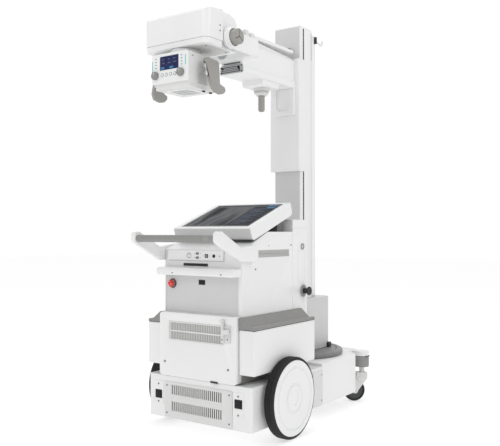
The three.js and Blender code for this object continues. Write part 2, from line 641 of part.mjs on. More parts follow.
// Plan of the tube head: full width at the back, narrower between the yoke arms.
function tubePlan(inset) {
  const wide = TUBE.half - inset;
  const narrow = TUBE_FLANK - inset;
  const rear = TUBE.rear + inset;
  const step = TUBE_STEP_Y - inset;
  const front = TUBE.front - inset;
  const r = TUBE_CORNER - inset;
  const plan = new THREE.Shape();
  plan.moveTo(-wide + r, rear);
  plan.lineTo(wide - r, rear);
  plan.absarc(wide - r, rear + r, r, -Math.PI / 2, 0);
  plan.lineTo(wide, step);
  plan.lineTo(narrow, step);
  plan.lineTo(narrow, front);
  plan.lineTo(-narrow, front);
  plan.lineTo(-narrow, step);
  plan.lineTo(-wide, step);
  plan.lineTo(-wide, rear + r);
  plan.absarc(-wide + r, rear + r, r, Math.PI, Math.PI * 1.5);
  return plan;
}

function tubeSide(inset) {
  const { rear, front, top, crown, seam } = TUBE;
  return outline([
    [rear + inset - 2, inset ? seam - 5 : seam], [front - inset + 2, inset ? seam - 5 : seam],
    [front - inset + 2, top - 22 - inset], [front - 14 - inset, top - inset], [front - 50, crown - inset],
    [TUBE_STEP_Y, crown - inset], [rear + 12 + inset, top - inset], [rear + inset - 2, top - 14 - inset],
  ]);
}

function buildTubeHead() {
  const { half, bottom, seam, crown } = TUBE;
  const skin = common(raised(tubePlan(0), seam, crown + 5, 6), alongX(tubeSide(0), -half - 2, half + 2));
  const space = common(raised(tubePlan(WALL), seam - 10, crown + 5, 6),
    alongX(tubeSide(WALL), -half + WALL, half - WALL));
  const trunnions = [1, -1].map((side) => {
    const pin = turnedAlongX(rod(TRUNNION_R, TUBE_FLANK - 2, YOKE.outer - 1), TILT_Y, ARM_AXIS_Z);
    return side > 0 ? pin : mirrored(pin);
  });
  add('tube_shell', white, join(cut(skin, space), ...trunnions));

  const tray = cut(
    raised(tubePlan(3), bottom, seam - GAP, 6),
    rod(45, bottom - 5, seam + 5, 28).translate(0, COLLIMATOR.y, 0),
  );
  add('tube_tray', warmWhite, tray);

  const insert = turned([
    [0, -INSERT.half], [26, -INSERT.half], [34, -70], [INSERT.r, -55], [INSERT.r, 60], [30, 84],
    [24, INSERT.half], [0, INSERT.half],
  ]);
  add('tube_insert', copper, turnedAlongX(insert, INSERT.y, INSERT.z));
}

function buildCollimator() {
  const { half, rear, front, y, bottom, top } = COLLIMATOR;
  const body = join(
    raised(roundedRect(-half, half, rear, front, 8), bottom, top, 4),
    raised(roundedRect(-half + 6, half - 6, rear + 4, front - 6, 8), COLLIMATOR_FOOT, bottom + 2, 4),
    rod(COLLIMATOR_NECK_R, top - 4, TUBE.bottom - 1.5, 32).translate(0, y, 0),
  );
  add('collimator_body', warmWhite, body);

  const pocketFloor = rear - GAP - 1.6;
  const pockets = [0, 1, 2, 3].map((i) => turnedTowardsOperator(
    rod(PANEL_BUTTONS.r + 0.5, -pocketFloor, -PANEL.face + 5),
    PANEL_BUTTONS.first + i * PANEL_BUTTONS.pitch, PANEL_BUTTONS.z));
  add('control_panel', white, cut(
    alongY(roundedRect(-PANEL.half, PANEL.half, PANEL.bottom, PANEL.top, 9), PANEL.face, rear - GAP),
    ...pockets,
  ));
  for (let i = 0; i < 4; i += 1) {
    const cap = rod(PANEL_BUTTONS.r, -pocketFloor + 2.6, -PANEL.face + PANEL_BUTTONS.proud, 20);
    const x = PANEL_BUTTONS.first + i * PANEL_BUTTONS.pitch;
    add(`panel_button_${i + 1}`, grey, turnedTowardsOperator(cap, x, PANEL_BUTTONS.z));
  }
  for (const [side, x] of PANEL_KNOBS) {
    const start = -PANEL.face + GAP;
    const end = -PANEL.face + PANEL_KNOB.proud;
    const knob = turned([
      [0, start], [PANEL_KNOB.r, start], [PANEL_KNOB.r, start + 3], [PANEL_KNOB.r - 2, end - 2],
      [PANEL_KNOB.r - 3, end], [0, end],
    ]);
    add(`shutter_knob_${side}`, grey, turnedTowardsOperator(knob, x, PANEL_KNOB.z));
  }
}

// Grab handles beside the collimator, hooked at the bottom, on short posts.
// The paddles lean in towards the collimator at the top, so that they splay out at hand height.
function splayed(geometry) {
  const middle = (GRAB.inner + GRAB.outer) / 2;
  return geometry.translate(-middle, 0, -GRAB.footZ)
    .rotateY(-THREE.MathUtils.degToRad(GRAB.splay))
    .translate(middle, 0, GRAB.footZ);
}

function buildGrabHandles() {
  const { inner, outer, postR, postY, postZ, postEnd } = GRAB;
  const paddle = splayed(alongX(outline([
    [-354, 1602], [-345, 1611], [-330, 1614], [-266, 1608], [-261, 1600], [-288, 1503], [-260, 1492],
    [-258, 1478], [-272, 1464], [-300, 1458], [-332, 1464], [-349, 1486],
  ]), inner, outer));
  const post = turnedAlongX(rod(postR, COLLIMATOR.half + GAP, postEnd), postY, postZ);
  const handle = join(paddle, post);
  add('grab_handle_left', grey, mirrored(handle));

  const { y, z, long, wide, travel } = LEVER;
  const middle = (inner + outer) / 2;
  const pocket = block(middle - wide / 2 - 0.5, middle + wide / 2 + 0.5, y - 30, y + wide + travel + 1,
    z - long / 2 - 1, z + long / 2 + 1);
  add('grab_handle_right', grey, cut(handle, splayed(pocket)));
  add('release_lever', aluminium, splayed(block(middle - wide / 2, middle + wide / 2, y - 6, y + wide - 1,
    z - long / 2, z + long / 2)));
}

buildBase();
buildDrive();
buildDriveWheels();
buildCasters();
buildCabinet();
buildButtons();
buildHandle();
buildMonitor();
buildColumn();
buildCarriage();
buildYoke();
buildTubeHead();
buildCollimator();
buildGrabHandles();

export default unit;
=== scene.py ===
"""Looks of the mobile x-ray unit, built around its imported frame.

Detail is laid out in millimetres from the drive axle: x to the right, y forward, z up from the
floor. `TO_ROW` turns that into the frame's metres. Every piece rides on the body that carries it.
"""

import json
import math

import bmesh
import bpy
from mathutils import Matrix, Vector


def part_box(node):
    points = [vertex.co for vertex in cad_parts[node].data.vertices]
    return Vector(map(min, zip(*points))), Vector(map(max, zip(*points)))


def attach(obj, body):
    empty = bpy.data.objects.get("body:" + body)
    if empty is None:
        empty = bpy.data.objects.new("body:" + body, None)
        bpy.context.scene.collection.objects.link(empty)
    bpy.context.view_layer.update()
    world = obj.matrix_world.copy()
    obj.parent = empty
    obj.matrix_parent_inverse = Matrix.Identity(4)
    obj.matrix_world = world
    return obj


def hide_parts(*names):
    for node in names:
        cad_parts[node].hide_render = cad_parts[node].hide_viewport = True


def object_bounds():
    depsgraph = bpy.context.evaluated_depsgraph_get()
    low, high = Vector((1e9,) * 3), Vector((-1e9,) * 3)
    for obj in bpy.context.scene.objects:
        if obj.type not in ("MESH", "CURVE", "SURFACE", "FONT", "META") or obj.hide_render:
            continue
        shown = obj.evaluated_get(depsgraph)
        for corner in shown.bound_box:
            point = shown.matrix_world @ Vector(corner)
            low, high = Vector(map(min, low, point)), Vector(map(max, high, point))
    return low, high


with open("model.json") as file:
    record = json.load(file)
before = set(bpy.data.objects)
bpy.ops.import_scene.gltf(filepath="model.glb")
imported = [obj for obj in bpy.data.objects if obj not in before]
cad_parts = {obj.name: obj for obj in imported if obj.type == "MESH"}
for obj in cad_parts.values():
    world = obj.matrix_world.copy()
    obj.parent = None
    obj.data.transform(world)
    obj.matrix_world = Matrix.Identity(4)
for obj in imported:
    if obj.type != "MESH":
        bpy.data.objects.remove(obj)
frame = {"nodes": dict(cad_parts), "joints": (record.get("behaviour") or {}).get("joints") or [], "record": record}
CAD_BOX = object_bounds()
NODES = frame["nodes"]
MM = 0.001
AXLE_Y = sum(p.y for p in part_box("tyre_right")) / 2

TO_ROW = Matrix.Translation((0, AXLE_Y, 0)) @ Matrix.Scale(MM, 4)


class Extent:
    """The box of one or more nodes, in millimetres from the drive axle."""

    def __init__(self, *nodes):
        corners = [TO_ROW.inverted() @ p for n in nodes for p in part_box(n)]
        self.x0, self.x1 = min(p.x for p in corners), max(p.x for p in corners)
        self.y0, self.y1 = min(p.y for p in corners), max(p.y for p in corners)
        self.z0, self.z1 = min(p.z for p in corners), max(p.z for p in corners)
        self.cx, self.cy = (self.x0 + self.x1) / 2, (self.y0 + self.y1) / 2
        self.cz = (self.z0 + self.z1) / 2
        self.half_x, self.half_z = (self.x1 - self.x0) / 2, (self.z1 - self.z0) / 2
        self.near, self.far = sorted((abs(self.x0), abs(self.x1)))


SIDES = (("right", 1), ("left", -1))
FACING = {1: "x", -1: "-x"}


def between(sign, a, b):
    """Two distances from the middle plane as x values on one side, lower first."""
    return sorted((sign * a, sign * b))


# ---------------------------------------------------------------- materials


class Nodes:
    """A short way to wire a material."""

    def __init__(self, name):
        self.material = bpy.data.materials.new(name)
        self.material.use_nodes = True
        self.tree = self.material.node_tree
        self.shader = self.tree.nodes["Principled BSDF"]
        self.place = self.tree.nodes.new("ShaderNodeTexCoord").outputs["Object"]

    def add(self, kind, inputs=None, **settings):
        node = self.tree.nodes.new(kind)
        for key, value in settings.items():
            setattr(node, key, value)
        for key, value in (inputs or {}).items():
            if isinstance(value, bpy.types.NodeSocket):
                self.tree.links.new(value, node.inputs[key])
            else:
                node.inputs[key].default_value = value
        return node

    def stretched(self, scale):
        return self.add("ShaderNodeMapping", {"Vector": self.place, "Scale": scale}).outputs["Vector"]

    def noise(self, scale, detail=3.0, vector=None, roughness=0.5):
        inputs = {"Vector": vector or self.place, "Scale": scale, "Detail": detail, "Roughness": roughness}
        return self.add("ShaderNodeTexNoise", inputs).outputs["Fac"]

    def remap(self, value, low, high, start=0.3, end=0.7):
        inputs = {"Value": value, "From Min": start, "From Max": end, "To Min": low, "To Max": high}
        return self.add("ShaderNodeMapRange", inputs).outputs["Result"]

    def ramp(self, value, stops):
        node = self.add("ShaderNodeValToRGB", {"Fac": value})
        ramp = node.color_ramp
        while len(ramp.elements) < len(stops):
            ramp.elements.new(0.5)
        for element, (position, color) in zip(ramp.elements, stops):
            element.position = position
            element.color = (*color, 1.0)
        return node.outputs["Color"]

    def set(self, socket, value):
        target = self.shader.inputs[socket]
        if isinstance(value, bpy.types.NodeSocket):
            self.tree.links.new(value, target)
        else:
            target.default_value = value

    def bump(self, height, strength, distance, under=None):
        inputs = {"Height": height, "Strength": strength, "Distance": distance}
        if under is not None:
            inputs["Normal"] = under
        return self.add("ShaderNodeBump", inputs).outputs["Normal"]


def shade(color, factor):
    return tuple(min(1.0, c * factor) for c in color)


def finish_material(name, color, rough, grain, relief, vary=0.03, spread=0.06, coat=0.0, metal=0.0,
        specular=0.5):
    """A moulded or painted surface: slow tone changes, uneven gloss, and a fine relief of the given grain."""
    n = Nodes(name)
    tone = n.noise(3.5, 4.0)
    n.set("Base Color", n.ramp(tone, [(0.30, shade(color, 1 - vary)), (0.52, color),
        (0.75, shade(color, 1 + vary))]))
    smudges = n.noise(26.0, 5.0, roughness=0.65)
    n.set("Roughness", n.remap(smudges, rough - spread, rough + spread))
    fine = n.noise(grain, 2.0)
    waves = n.noise(grain * 0.12, 2.0)
    n.set("Normal", n.bump(fine, relief, 0.0004, n.bump(waves, relief * 0.5, 0.0012)))
    n.set("Metallic", metal)
    n.set("Specular IOR Level", specular)
    n.set("Coat Weight", coat)
    n.set("Coat Roughness", 0.12)
    return n.material


def paint_shade_by_facing(material, direction, color):
    """Painted shade: mixes the paint to another tone on the faces turned towards a direction, for the shade those
    faces get.
    """
    tree = material.node_tree
    base = tree.nodes["Principled BSDF"].inputs["Base Color"]
    paint = base.links[0].from_socket
    facing = tree.nodes.new("ShaderNodeVectorMath")
    facing.operation = "DOT_PRODUCT"
    facing.inputs[1].default_value = direction
    tree.links.new(tree.nodes.new("ShaderNodeTexCoord").outputs["Normal"], facing.inputs[0])
    share = tree.nodes.new("ShaderNodeMapRange")
    share.inputs["From Min"].default_value = 0.35
    share.inputs["From Max"].default_value = 0.98
    tree.links.new(facing.outputs["Value"], share.inputs["Value"])
    blend = tree.nodes.new("ShaderNodeMix")
    blend.data_type = "RGBA"
    tree.links.new(share.outputs["Result"], blend.inputs[0])
    tree.links.new(paint, blend.inputs[6])
    blend.inputs[7].default_value = (*color, 1.0)
    tree.links.new(blend.outputs[2], base)
    return material


def brushed_material(name, color, rough, direction, relief=0.25):
    """Drawn or brushed metal: long fine scratches along one axis."""
    n = Nodes(name)
    scale = tuple(18.0 if axis == direction else 900.0 for axis in "xyz")
    scratches = n.noise(1.0, 4.0, n.stretched(scale))
    tone = n.ramp(scratches, [(0.25, shade(color, 0.84)), (0.5, color), (0.8, shade(color, 1.12))])
    n.set("Base Color", tone)
    n.set("Roughness", n.remap(scratches, rough - 0.1, rough + 0.12))
    n.set("Metallic", 1.0)
    n.set("Normal", n.bump(scratches, relief, 0.0003))
    return n.material


def rubber_material(name, color, rough, grain):
    n = Nodes(name)
    dust = n.noise(9.0, 6.0, roughness=0.7)
    n.set("Base Color", n.ramp(dust, [(0.35, color), (0.62, shade(color, 1.6)), (0.85, shade(color, 2.6))]))
    n.set("Roughness", n.remap(dust, rough - 0.08, rough + 0.08))
    n.set("Normal", n.bump(n.noise(grain, 3.0), 0.35, 0.0005))
    n.set("Specular IOR Level", 0.35)
    return n.material


def glass_front_material(name, color):
    n = Nodes(name)
    smudges = n.noise(14.0, 6.0, roughness=0.7)
    n.set("Base Color", n.ramp(smudges, [(0.3, color), (0.8, shade(color, 1.5))]))
    n.set("Roughness", n.remap(smudges, 0.05, 0.16))
    n.set("Specular IOR Level", 0.22)
    n.set("Normal", n.bump(smudges, 0.03, 0.0003))
    n.set("Coat Weight", 0.05)
    n.set("Coat Roughness", 0.04)
    return n.material


def glow_material(name, stops, strength, scale, stretch=(1.0, 1.0, 1.0)):
    """A lit picture area: soft shapes from stretched noise."""
    n = Nodes(name)
    picture = n.ramp(n.noise(scale, 3.0, n.stretched(stretch)), stops)
    n.set("Base Color", picture)
    n.set("Emission Color", picture)
    n.set("Emission Strength", strength)
    n.set("Roughness", n.remap(n.noise(20.0, 4.0), 0.3, 0.4))
    n.set("Specular IOR Level", 0.02)
    n.set("Normal", n.bump(n.noise(1800.0, 2.0), 0.05, 0.0002))
    return n.material


WHITE = (0.83, 0.835, 0.83)
WARM = (0.72, 0.722, 0.715)
GREY = (0.27, 0.268, 0.262)

M = {
    "housing": finish_material("white_housing", WHITE, 0.34, 900.0, 0.06, vary=0.012, coat=0.15),
    "paint": finish_material("white_powder_coat", WHITE, 0.42, 1500.0, 0.22, vary=0.015),
    # painted shade: the monitor case turns mid grey on faces turned down and to the rear, for the shade they get
    "shade_painted_case": paint_shade_by_facing(finish_material("white_monitor_case_painted_shade", WHITE, 0.34, 900.0, 0.06, vary=0.012, coat=0.1),
                       (0.0, -0.87, -0.49), (0.50, 0.50, 0.50)),
    # partly grey paint, partly painted shade: a mid grey for faces that sit in shade, such as the column's rear
    # and the lower rear panel
    "shaded": finish_material("grey_paint_and_painted_shade", (0.62, 0.62, 0.62), 0.42, 1500.0, 0.2, vary=0.03),
    "panel": finish_material("off_white_panel", WARM, 0.48, 2200.0, 0.16, vary=0.015),
    "trim": finish_material("light_grey_trim", (0.60, 0.60, 0.59), 0.5, 2200.0, 0.18),
    "grey": finish_material("grey_moulding", GREY, 0.52, 2600.0, 0.3, vary=0.05),
    "grey_paint": finish_material("grey_powder_coat", (0.23, 0.23, 0.228), 0.46, 1500.0, 0.3, vary=0.05),
    "grip": finish_material("warm_grey_grip", (0.33, 0.32, 0.30), 0.5, 2600.0, 0.3, vary=0.05),
    "dark": finish_material("dark_frame_paint", (0.055, 0.058, 0.06), 0.55, 1500.0, 0.3, vary=0.15),
    "black": finish_material("black_plastic", (0.016, 0.016, 0.017), 0.48, 2600.0, 0.3, vary=0.3),
    "void": finish_material("unlit_inside", (0.02, 0.02, 0.021), 0.85, 900.0, 0.2, vary=0.3, specular=0.1),
    "electronics": finish_material("equipment_case", (0.14, 0.145, 0.15), 0.5, 1500.0, 0.3,
                                   vary=0.1, metal=0.3),
    "red": finish_material("stop_red", (0.66, 0.012, 0.01), 0.26, 1200.0, 0.05, vary=0.06, coat=0.5),
    "teal": finish_material("teal_strip", (0.02, 0.55, 0.56), 0.35, 1200.0, 0.05, vary=0.05),
    "aluminium": brushed_material("drawn_aluminium", (0.50, 0.51, 0.52), 0.34, "y"),
    "steel": brushed_material("turned_steel", (0.62, 0.62, 0.62), 0.28, "z"),
    "screw": brushed_material("screw_steel", (0.22, 0.22, 0.225), 0.35, "x"),
    "copper": brushed_material("machined_copper", (0.62, 0.33, 0.18), 0.3, "x"),
    "tyre": rubber_material("tyre_rubber", (0.010, 0.010, 0.0105), 0.62, 900.0),
    "caster": rubber_material("caster_rubber", (0.014, 0.014, 0.014), 0.6, 1400.0),
    "glass": glass_front_material("black_glass", (0.008, 0.009, 0.012)),
    "window": glass_front_material("smoked_window", (0.33, 0.335, 0.34)),
    "film": glow_material("grey_film_picture", [(0.38, (0.002, 0.003, 0.004)), (0.47, (0.020, 0.022, 0.025)),
                                                (0.56, (0.085, 0.090, 0.095)), (0.70, (0.012, 0.014, 0.016))],
                          0.45, 2.2, (4.2, 1.1, 1.0)),
    "list": glow_material("dark_list_rows", [(0.3, (0.006, 0.008, 0.013)), (0.7, (0.016, 0.020, 0.030))],
                          0.35, 3.0, (2.0, 30.0, 1.0)),
    "row": glow_material("list_row_marks", [(0.3, (0.06, 0.07, 0.10)), (0.7, (0.12, 0.14, 0.18))], 0.4, 9.0),
    "blue": glow_material("blue_field", [(0.3, (0.03, 0.10, 0.22)), (0.7, (0.05, 0.20, 0.34))], 0.5, 9.0),
    "navy": glow_material("navy_display", [(0.3, (0.016, 0.018, 0.055)), (0.7, (0.030, 0.034, 0.090))],
                          0.5, 30.0),
    "icon": finish_material("printed_grey", (0.30, 0.31, 0.32), 0.5, 1200.0, 0.05),
}

# ---------------------------------------------------------------- outlines


def arc(cx, cy, r, start, end, steps=8):
    angles = [math.radians(start + (end - start) * i / steps) for i in range(steps + 1)]
    return [(cx + r * math.cos(a), cy + r * math.sin(a)) for a in angles]


def rounded(x0, x1, y0, y1, r, steps=6):
    return [*arc(x1 - r, y0 + r, r, -90, 0, steps), *arc(x1 - r, y1 - r, r, 0, 90, steps),
        *arc(x0 + r, y1 - r, r, 90, 180, steps), *arc(x0 + r, y0 + r, r, 180, 270, steps)]


def filleted(points, r, steps=5):
    """Rounds every corner of an outline; r is one radius, or one for each corner."""
    radii = r if isinstance(r, (list, tuple)) else [r] * len(points)
    out = []
    for i, (point, radius) in enumerate(zip(points, radii)):
        here = Vector(point)
        back = Vector(points[i - 1]) - here
        on = Vector(points[(i + 1) % len(points)]) - here
        if radius <= 0:
            out.append(tuple(here))
            continue
        half = back.angle(on) / 2
        reach = min(radius / math.tan(half), back.length * 0.49, on.length * 0.49)
        a, b = here + back.normalized() * reach, here + on.normalized() * reach
        for k in range(steps + 1):
            t = k / steps
            out.append(tuple(a * (1 - t) ** 2 + here * 2 * t * (1 - t) + b * t * t))
    return out


# ---------------------------------------------------------------- solids

PLANES = {
    "x": lambda u, v, w: (w, u, v),
    "y": lambda u, v, w: (u, w, v),
    "z": lambda u, v, w: (u, v, w),
}


def add_loft(bm, low_points, high_points):
    """A closed solid between two outlines with the same number of points."""
    first = [bm.verts.new(p) for p in low_points]
    last = [bm.verts.new(p) for p in high_points]
    bm.faces.new(first[::-1])
    bm.faces.new(last)
    for i in range(len(first)):
        k = (i + 1) % len(first)
        bm.faces.new((first[i], first[k], last[k], last[i]))


def add_prism(bm, points, axis, low, high):
    """An outline carried along an axis from low to high."""
    place = PLANES[axis]
    add_loft(bm, [place(u, v, low) for u, v in points], [place(u, v, high) for u, v in points])


def add_box(bm, x0, x1, y0, y1, z0, z1):
    add_prism(bm, [(x0, y0), (x1, y0), (x1, y1), (x0, y1)], "z", z0, z1)


def add_lathe(bm, profile, axis, centre, segments=64):
    """Turns (radius, height) pairs round an axis through centre; a radius of 0 closes on the axis."""
    frames = {"x": (Vector((0, 1, 0)), Vector((0, 0, 1)), Vector((1, 0, 0))),
        "y": (Vector((0, 0, 1)), Vector((1, 0, 0)), Vector((0, 1, 0))),
        "z": (Vector((1, 0, 0)), Vector((0, 1, 0)), Vector((0, 0, 1)))}
    u, v, w = frames[axis] if isinstance(axis, str) else axis
    centre = Vector(centre)
    rings = []
    for r, h in profile:
        if r < 1e-6:
            rings.append([bm.verts.new(centre + w * h)])
            continue
        angles = [2 * math.pi * i / segments for i in range(segments)]
        rings.append([bm.verts.new(centre + w * h + (u * math.cos(a) + v * math.sin(a)) * r)
            for a in angles])
    for low, high in zip(rings, rings[1:]):
        for i in range(segments):
            k = (i + 1) % segments
            if len(low) == 1 and len(high) == 1:
                continue
            if len(low) == 1:
                bm.faces.new((low[0], high[k], high[i]))
            elif len(high) == 1:
                bm.faces.new((low[i], low[k], high[0]))
            else:
                bm.faces.new((low[i], low[k], high[k], high[i]))


def add_sweep(bm, path, radius, sides=12):
    """A round bar along a path of points."""
    points = [Vector(p) for p in path]
    up = Vector((0.0, 0.0, 1.0))
    rings = []
    for i, point in enumerate(points):
        ahead = (points[min(i + 1, len(points) - 1)] - points[max(i - 1, 0)]).normalized()
        side = ahead.cross(up)
        side = Vector((1, 0, 0)) if side.length < 0.05 else side.normalized()
        top = side.cross(ahead).normalized()
        angles = [2 * math.pi * k / sides for k in range(sides)]
        rings.append([bm.verts.new(point + (side * math.cos(a) + top * math.sin(a)) * radius)
            for a in angles])
    for low, high in zip(rings, rings[1:]):
        for i in range(sides):
            k = (i + 1) % sides
            bm.faces.new((low[i], low[k], high[k], high[i]))
    bm.faces.new(rings[0][::-1])
    bm.faces.new(rings[-1])


def solid(*parts):
    """A new mesh from (adder, arguments...) tuples."""
    bm = bmesh.new()
    for adder, *arguments in parts:
        adder(bm, *arguments)
    return bm


def slab(*arguments):
    return solid((add_prism, *arguments))


def cuboid(*arguments):
    return solid((add_box, *arguments))


def turned(*arguments):
    return solid((add_lathe, *arguments))


def from_node(node):
    """A node's own surface with coplanar triangles merged, in millimetres from the axle."""
    bm = bmesh.new()
    bm.from_mesh(NODES[node].data)
    bm.transform(TO_ROW.inverted())
    bmesh.ops.remove_doubles(bm, verts=bm.verts, dist=0.02)
    bmesh.ops.dissolve_limit(bm, angle_limit=math.radians(1.0), verts=bm.verts, edges=bm.edges)
    return bm


def to_mesh(bm, name):
    bmesh.ops.recalc_face_normals(bm, faces=bm.faces)
    bm.transform(TO_ROW)
    mesh = bpy.data.meshes.new(name)
    bm.to_mesh(mesh)
    bm.free()
    return mesh


def carve(obj, cutter):
    """Cuts a solid out of a piece for good."""
    tool = bpy.data.objects.new("cutter", to_mesh(cutter, "cutter"))
    bpy.context.scene.collection.objects.link(tool)
    step = obj.modifiers.new("cut", "BOOLEAN")
    step.operation, step.solver, step.object = "DIFFERENCE", "EXACT", tool
    bpy.context.view_layer.update()
    cut = bpy.data.meshes.new_from_object(obj.evaluated_get(bpy.context.evaluated_depsgraph_get()))
    obj.modifiers.clear()
    obj.data = cut
    bpy.data.objects.remove(tool)


def soften(obj, width, segments=3, angle=32.0):
    """Rounds every edge sharper than the angle by width millimetres."""
    for polygon in obj.data.polygons:
        polygon.use_smooth = True
    if width:
        bevel = obj.modifiers.new("edges", "BEVEL")
        bevel.width, bevel.segments = width * MM, segments
        bevel.limit_method, bevel.angle_limit = "ANGLE", math.radians(angle)
        bevel.harden_normals = True
        bevel.use_clamp_overlap = True
    else:
        obj.data.set_sharp_from_angle(angle=math.radians(angle))


def piece(name, bm, look, body, edges=0.0, segments=3, cuts=(), stands_for=(), angle=32.0):
    """Makes a piece of the object in one look, on one body."""
    obj = bpy.data.objects.new(name, to_mesh(bm, name))
    bpy.context.scene.collection.objects.link(obj)
    for cutter in cuts:
        carve(obj, cutter)
    obj.data.materials.clear()
    obj.data.materials.append(M[look])
    soften(obj, edges, segments, angle)
    if stands_for:
        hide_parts(*stands_for)
    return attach(obj, body)


def refine(node, look, edges, cuts=(), segments=3, angle=32.0):
    """The node's own solid with rounded edges and cuts, in place of the plain node."""
    return piece(f"{node}_finish", from_node(node), look, BODY_OF[node], edges, segments, cuts, [node],
        angle)


def paint_node(node, look):
    """Keeps a plain inner node and gives it a look."""
    NODES[node].data.materials.clear()
    NODES[node].data.materials.append(M[look])


BODY_OF = {n: b for b, names in frame["record"]["behaviour"]["bodies"].items() for n in names}


def add_screw(bm, centre, facing, r=4.0):
    """A pan head with a hollow, standing on a surface that faces along an axis."""
    sign = -1.0 if facing.startswith("-") else 1.0
    profile = [(0, 0.4 * r), (0.45 * r, 0.4 * r), (0.45 * r, 0.75 * r), (0.8 * r, 0.7 * r), (r, 0.4 * r),
        (r, -0.3 * r), (0, -0.3 * r)]
    add_lathe(bm, [(radius, sign * h) for radius, h in profile], facing[-1], centre, 16)


def screws(name, centres, facing, body, r=4.0, look="screw"):
    bm = bmesh.new()
    for centre in centres:
        add_screw(bm, centre, facing, r)
    return piece(name, bm, look, body)


def knurled(cx, cy, r, depth, ridges):
    """A round outline with even notches."""
    steps = ridges * 4
    radii = [r - (0.0 if i % 4 in (0, 1) else depth) for i in range(steps)]
    angles = [2 * math.pi * i / steps for i in range(steps)]
    return [(cx + radius * math.cos(a), cy + radius * math.sin(a)) for radius, a in zip(radii, angles)]


def slot_row(bm, count, start, pitch, width, axis, low, high, z0, z1):
    """A row of upright slots, cut along an axis."""
    for i in range(count):
        u = start + i * pitch
        add_prism(bm, rounded(u, u + width, z0, z1, width * 0.45, 3), axis, low, high)


# ---------------------------------------------------------------- base


def build_base():
    tub = Extent("base_tub")
    rear = tub.y0
    refine("base_tub", "housing", 7.0)
    piece("base_deck", slab(rounded(-275, 275, rear + 9, tub.y1 - 9, 8), "z", tub.z1 - 5, tub.z1 - 0.5),
        "housing", "chassis")
    refine("front_housing", "housing", 8.0)
    beam = Extent("chassis_frame")
    half = beam.x1 - 52
    rim = slab(rounded(-half, half, beam.y0 + 3, beam.y1, 12), "z", beam.z0, beam.z1)
    well = slab(rounded(-half + 40, half - 40, beam.y0 + 40, beam.y1 - 40, 8), "z", beam.z0 - 5,
        beam.z1 + 5)
    piece("frame_rim", rim, "grey", "chassis", 2.0, 2, [well], ["chassis_frame"])
    ring = Extent("turret_ring")
    r, top, low = ring.half_x, ring.z1, ring.z0
    profile = [(100, low), (100, top - 1), (r - 36, top - 1), (r - 34, top - 4.5), (r - 30, top - 4.5),
        (r - 28, top - 0.4), (r - 9, top), (r - 3, top - 3), (r, top - 7), (r, low + 7), (r - 3, low + 5),
        (r - 3, low), (100, low)]
    piece("turret_ring_turned", turned(profile, "z", (0, ring.cy, 0), 144), "grey_paint", "chassis",
        stands_for=["turret_ring"], angle=28)
    paint_node("drive_unit", "electronics")

    plate = Extent("vent_plate")
    slots = solid()
    count, pitch, width = 25, 11.3, 5.4
    start = plate.cx - 7 - (count - 1) * pitch / 2 - width / 2
    for z0, z1 in ((plate.z0 + 31, plate.z0 + 73), (plate.z0 + 103, plate.z0 + 146)):
        slot_row(slots, count, start, pitch, width, "y", plate.y0 - 5, plate.y1 + 5, z0, z1)
    refine("vent_plate", "panel", 0.8, [slots], 2)
    # painted shade: a near-black sheet behind the slots stands for the dark inside of the vent
    piece("vent_shade_backing", cuboid(start - 4, start + count * pitch + 4, plate.y1 + 0.05, plate.y1 + 0.3,
        plate.z0 + 26, plate.z1 - 6), "void", "chassis")
    screws("vent_plate_screws", [(x, plate.y0, z) for x in (plate.x0 + 14, plate.x1 - 14)
        for z in (plate.z0 + 20, plate.z1 - 17)], "-y", "chassis", 3.6)

    for side, x0, x1, eye_z in (("left", -253.0, -196.0, 164.0), ("right", 190.0, 246.0, 177.0)):
        z0, z1 = 118.0, 224.0
        middle = (x0 + x1) / 2
        face = rear - 2.2
        frame_cut = slab(rounded(middle - 21, middle + 21, eye_z - 20, eye_z + 20, 2), "y", face - 5,
            rear - 0.4)
        plate_body = slab(rounded(x0, x1, z0, z1, 4), "y", face, rear + 0.5)
        piece(f"sensor_plate_{side}", plate_body, "housing", "chassis", 0.9, 2, [frame_cut])
        pane = rounded(middle - 19.5, middle + 19.5, eye_z - 18.5, eye_z + 18.5, 2)
        lens = rounded(middle - 11, middle + 11, eye_z - 9, eye_z + 10, 2)
        window = solid((add_prism, pane, "y", face + 0.4, rear - 0.1),
            (add_prism, lens, "y", face - 0.6, rear - 0.1))
        piece(f"sensor_window_{side}", window, "glass", "chassis", 0.5, 2)
        screws(f"sensor_screws_{side}", [(middle, face, z0 + 13), (middle, face, z1 - 15)], "-y",
            "chassis", 3.8)

    for side, sign in SIDES:
        plate_face = tub.x1 + 3
        side_plate = slab(rounded(262, 352, 70, 236, 5), "x", *between(sign, tub.x1, plate_face))
        piece(f"base_side_plate_{side}", side_plate, "panel", "chassis", 1.0, 2)
        bolts = [(sign * plate_face, 340, z) for z in (91, 212)]
        screws(f"base_side_bolts_{side}", bolts, FACING[sign], "chassis", 4.5, "steel")


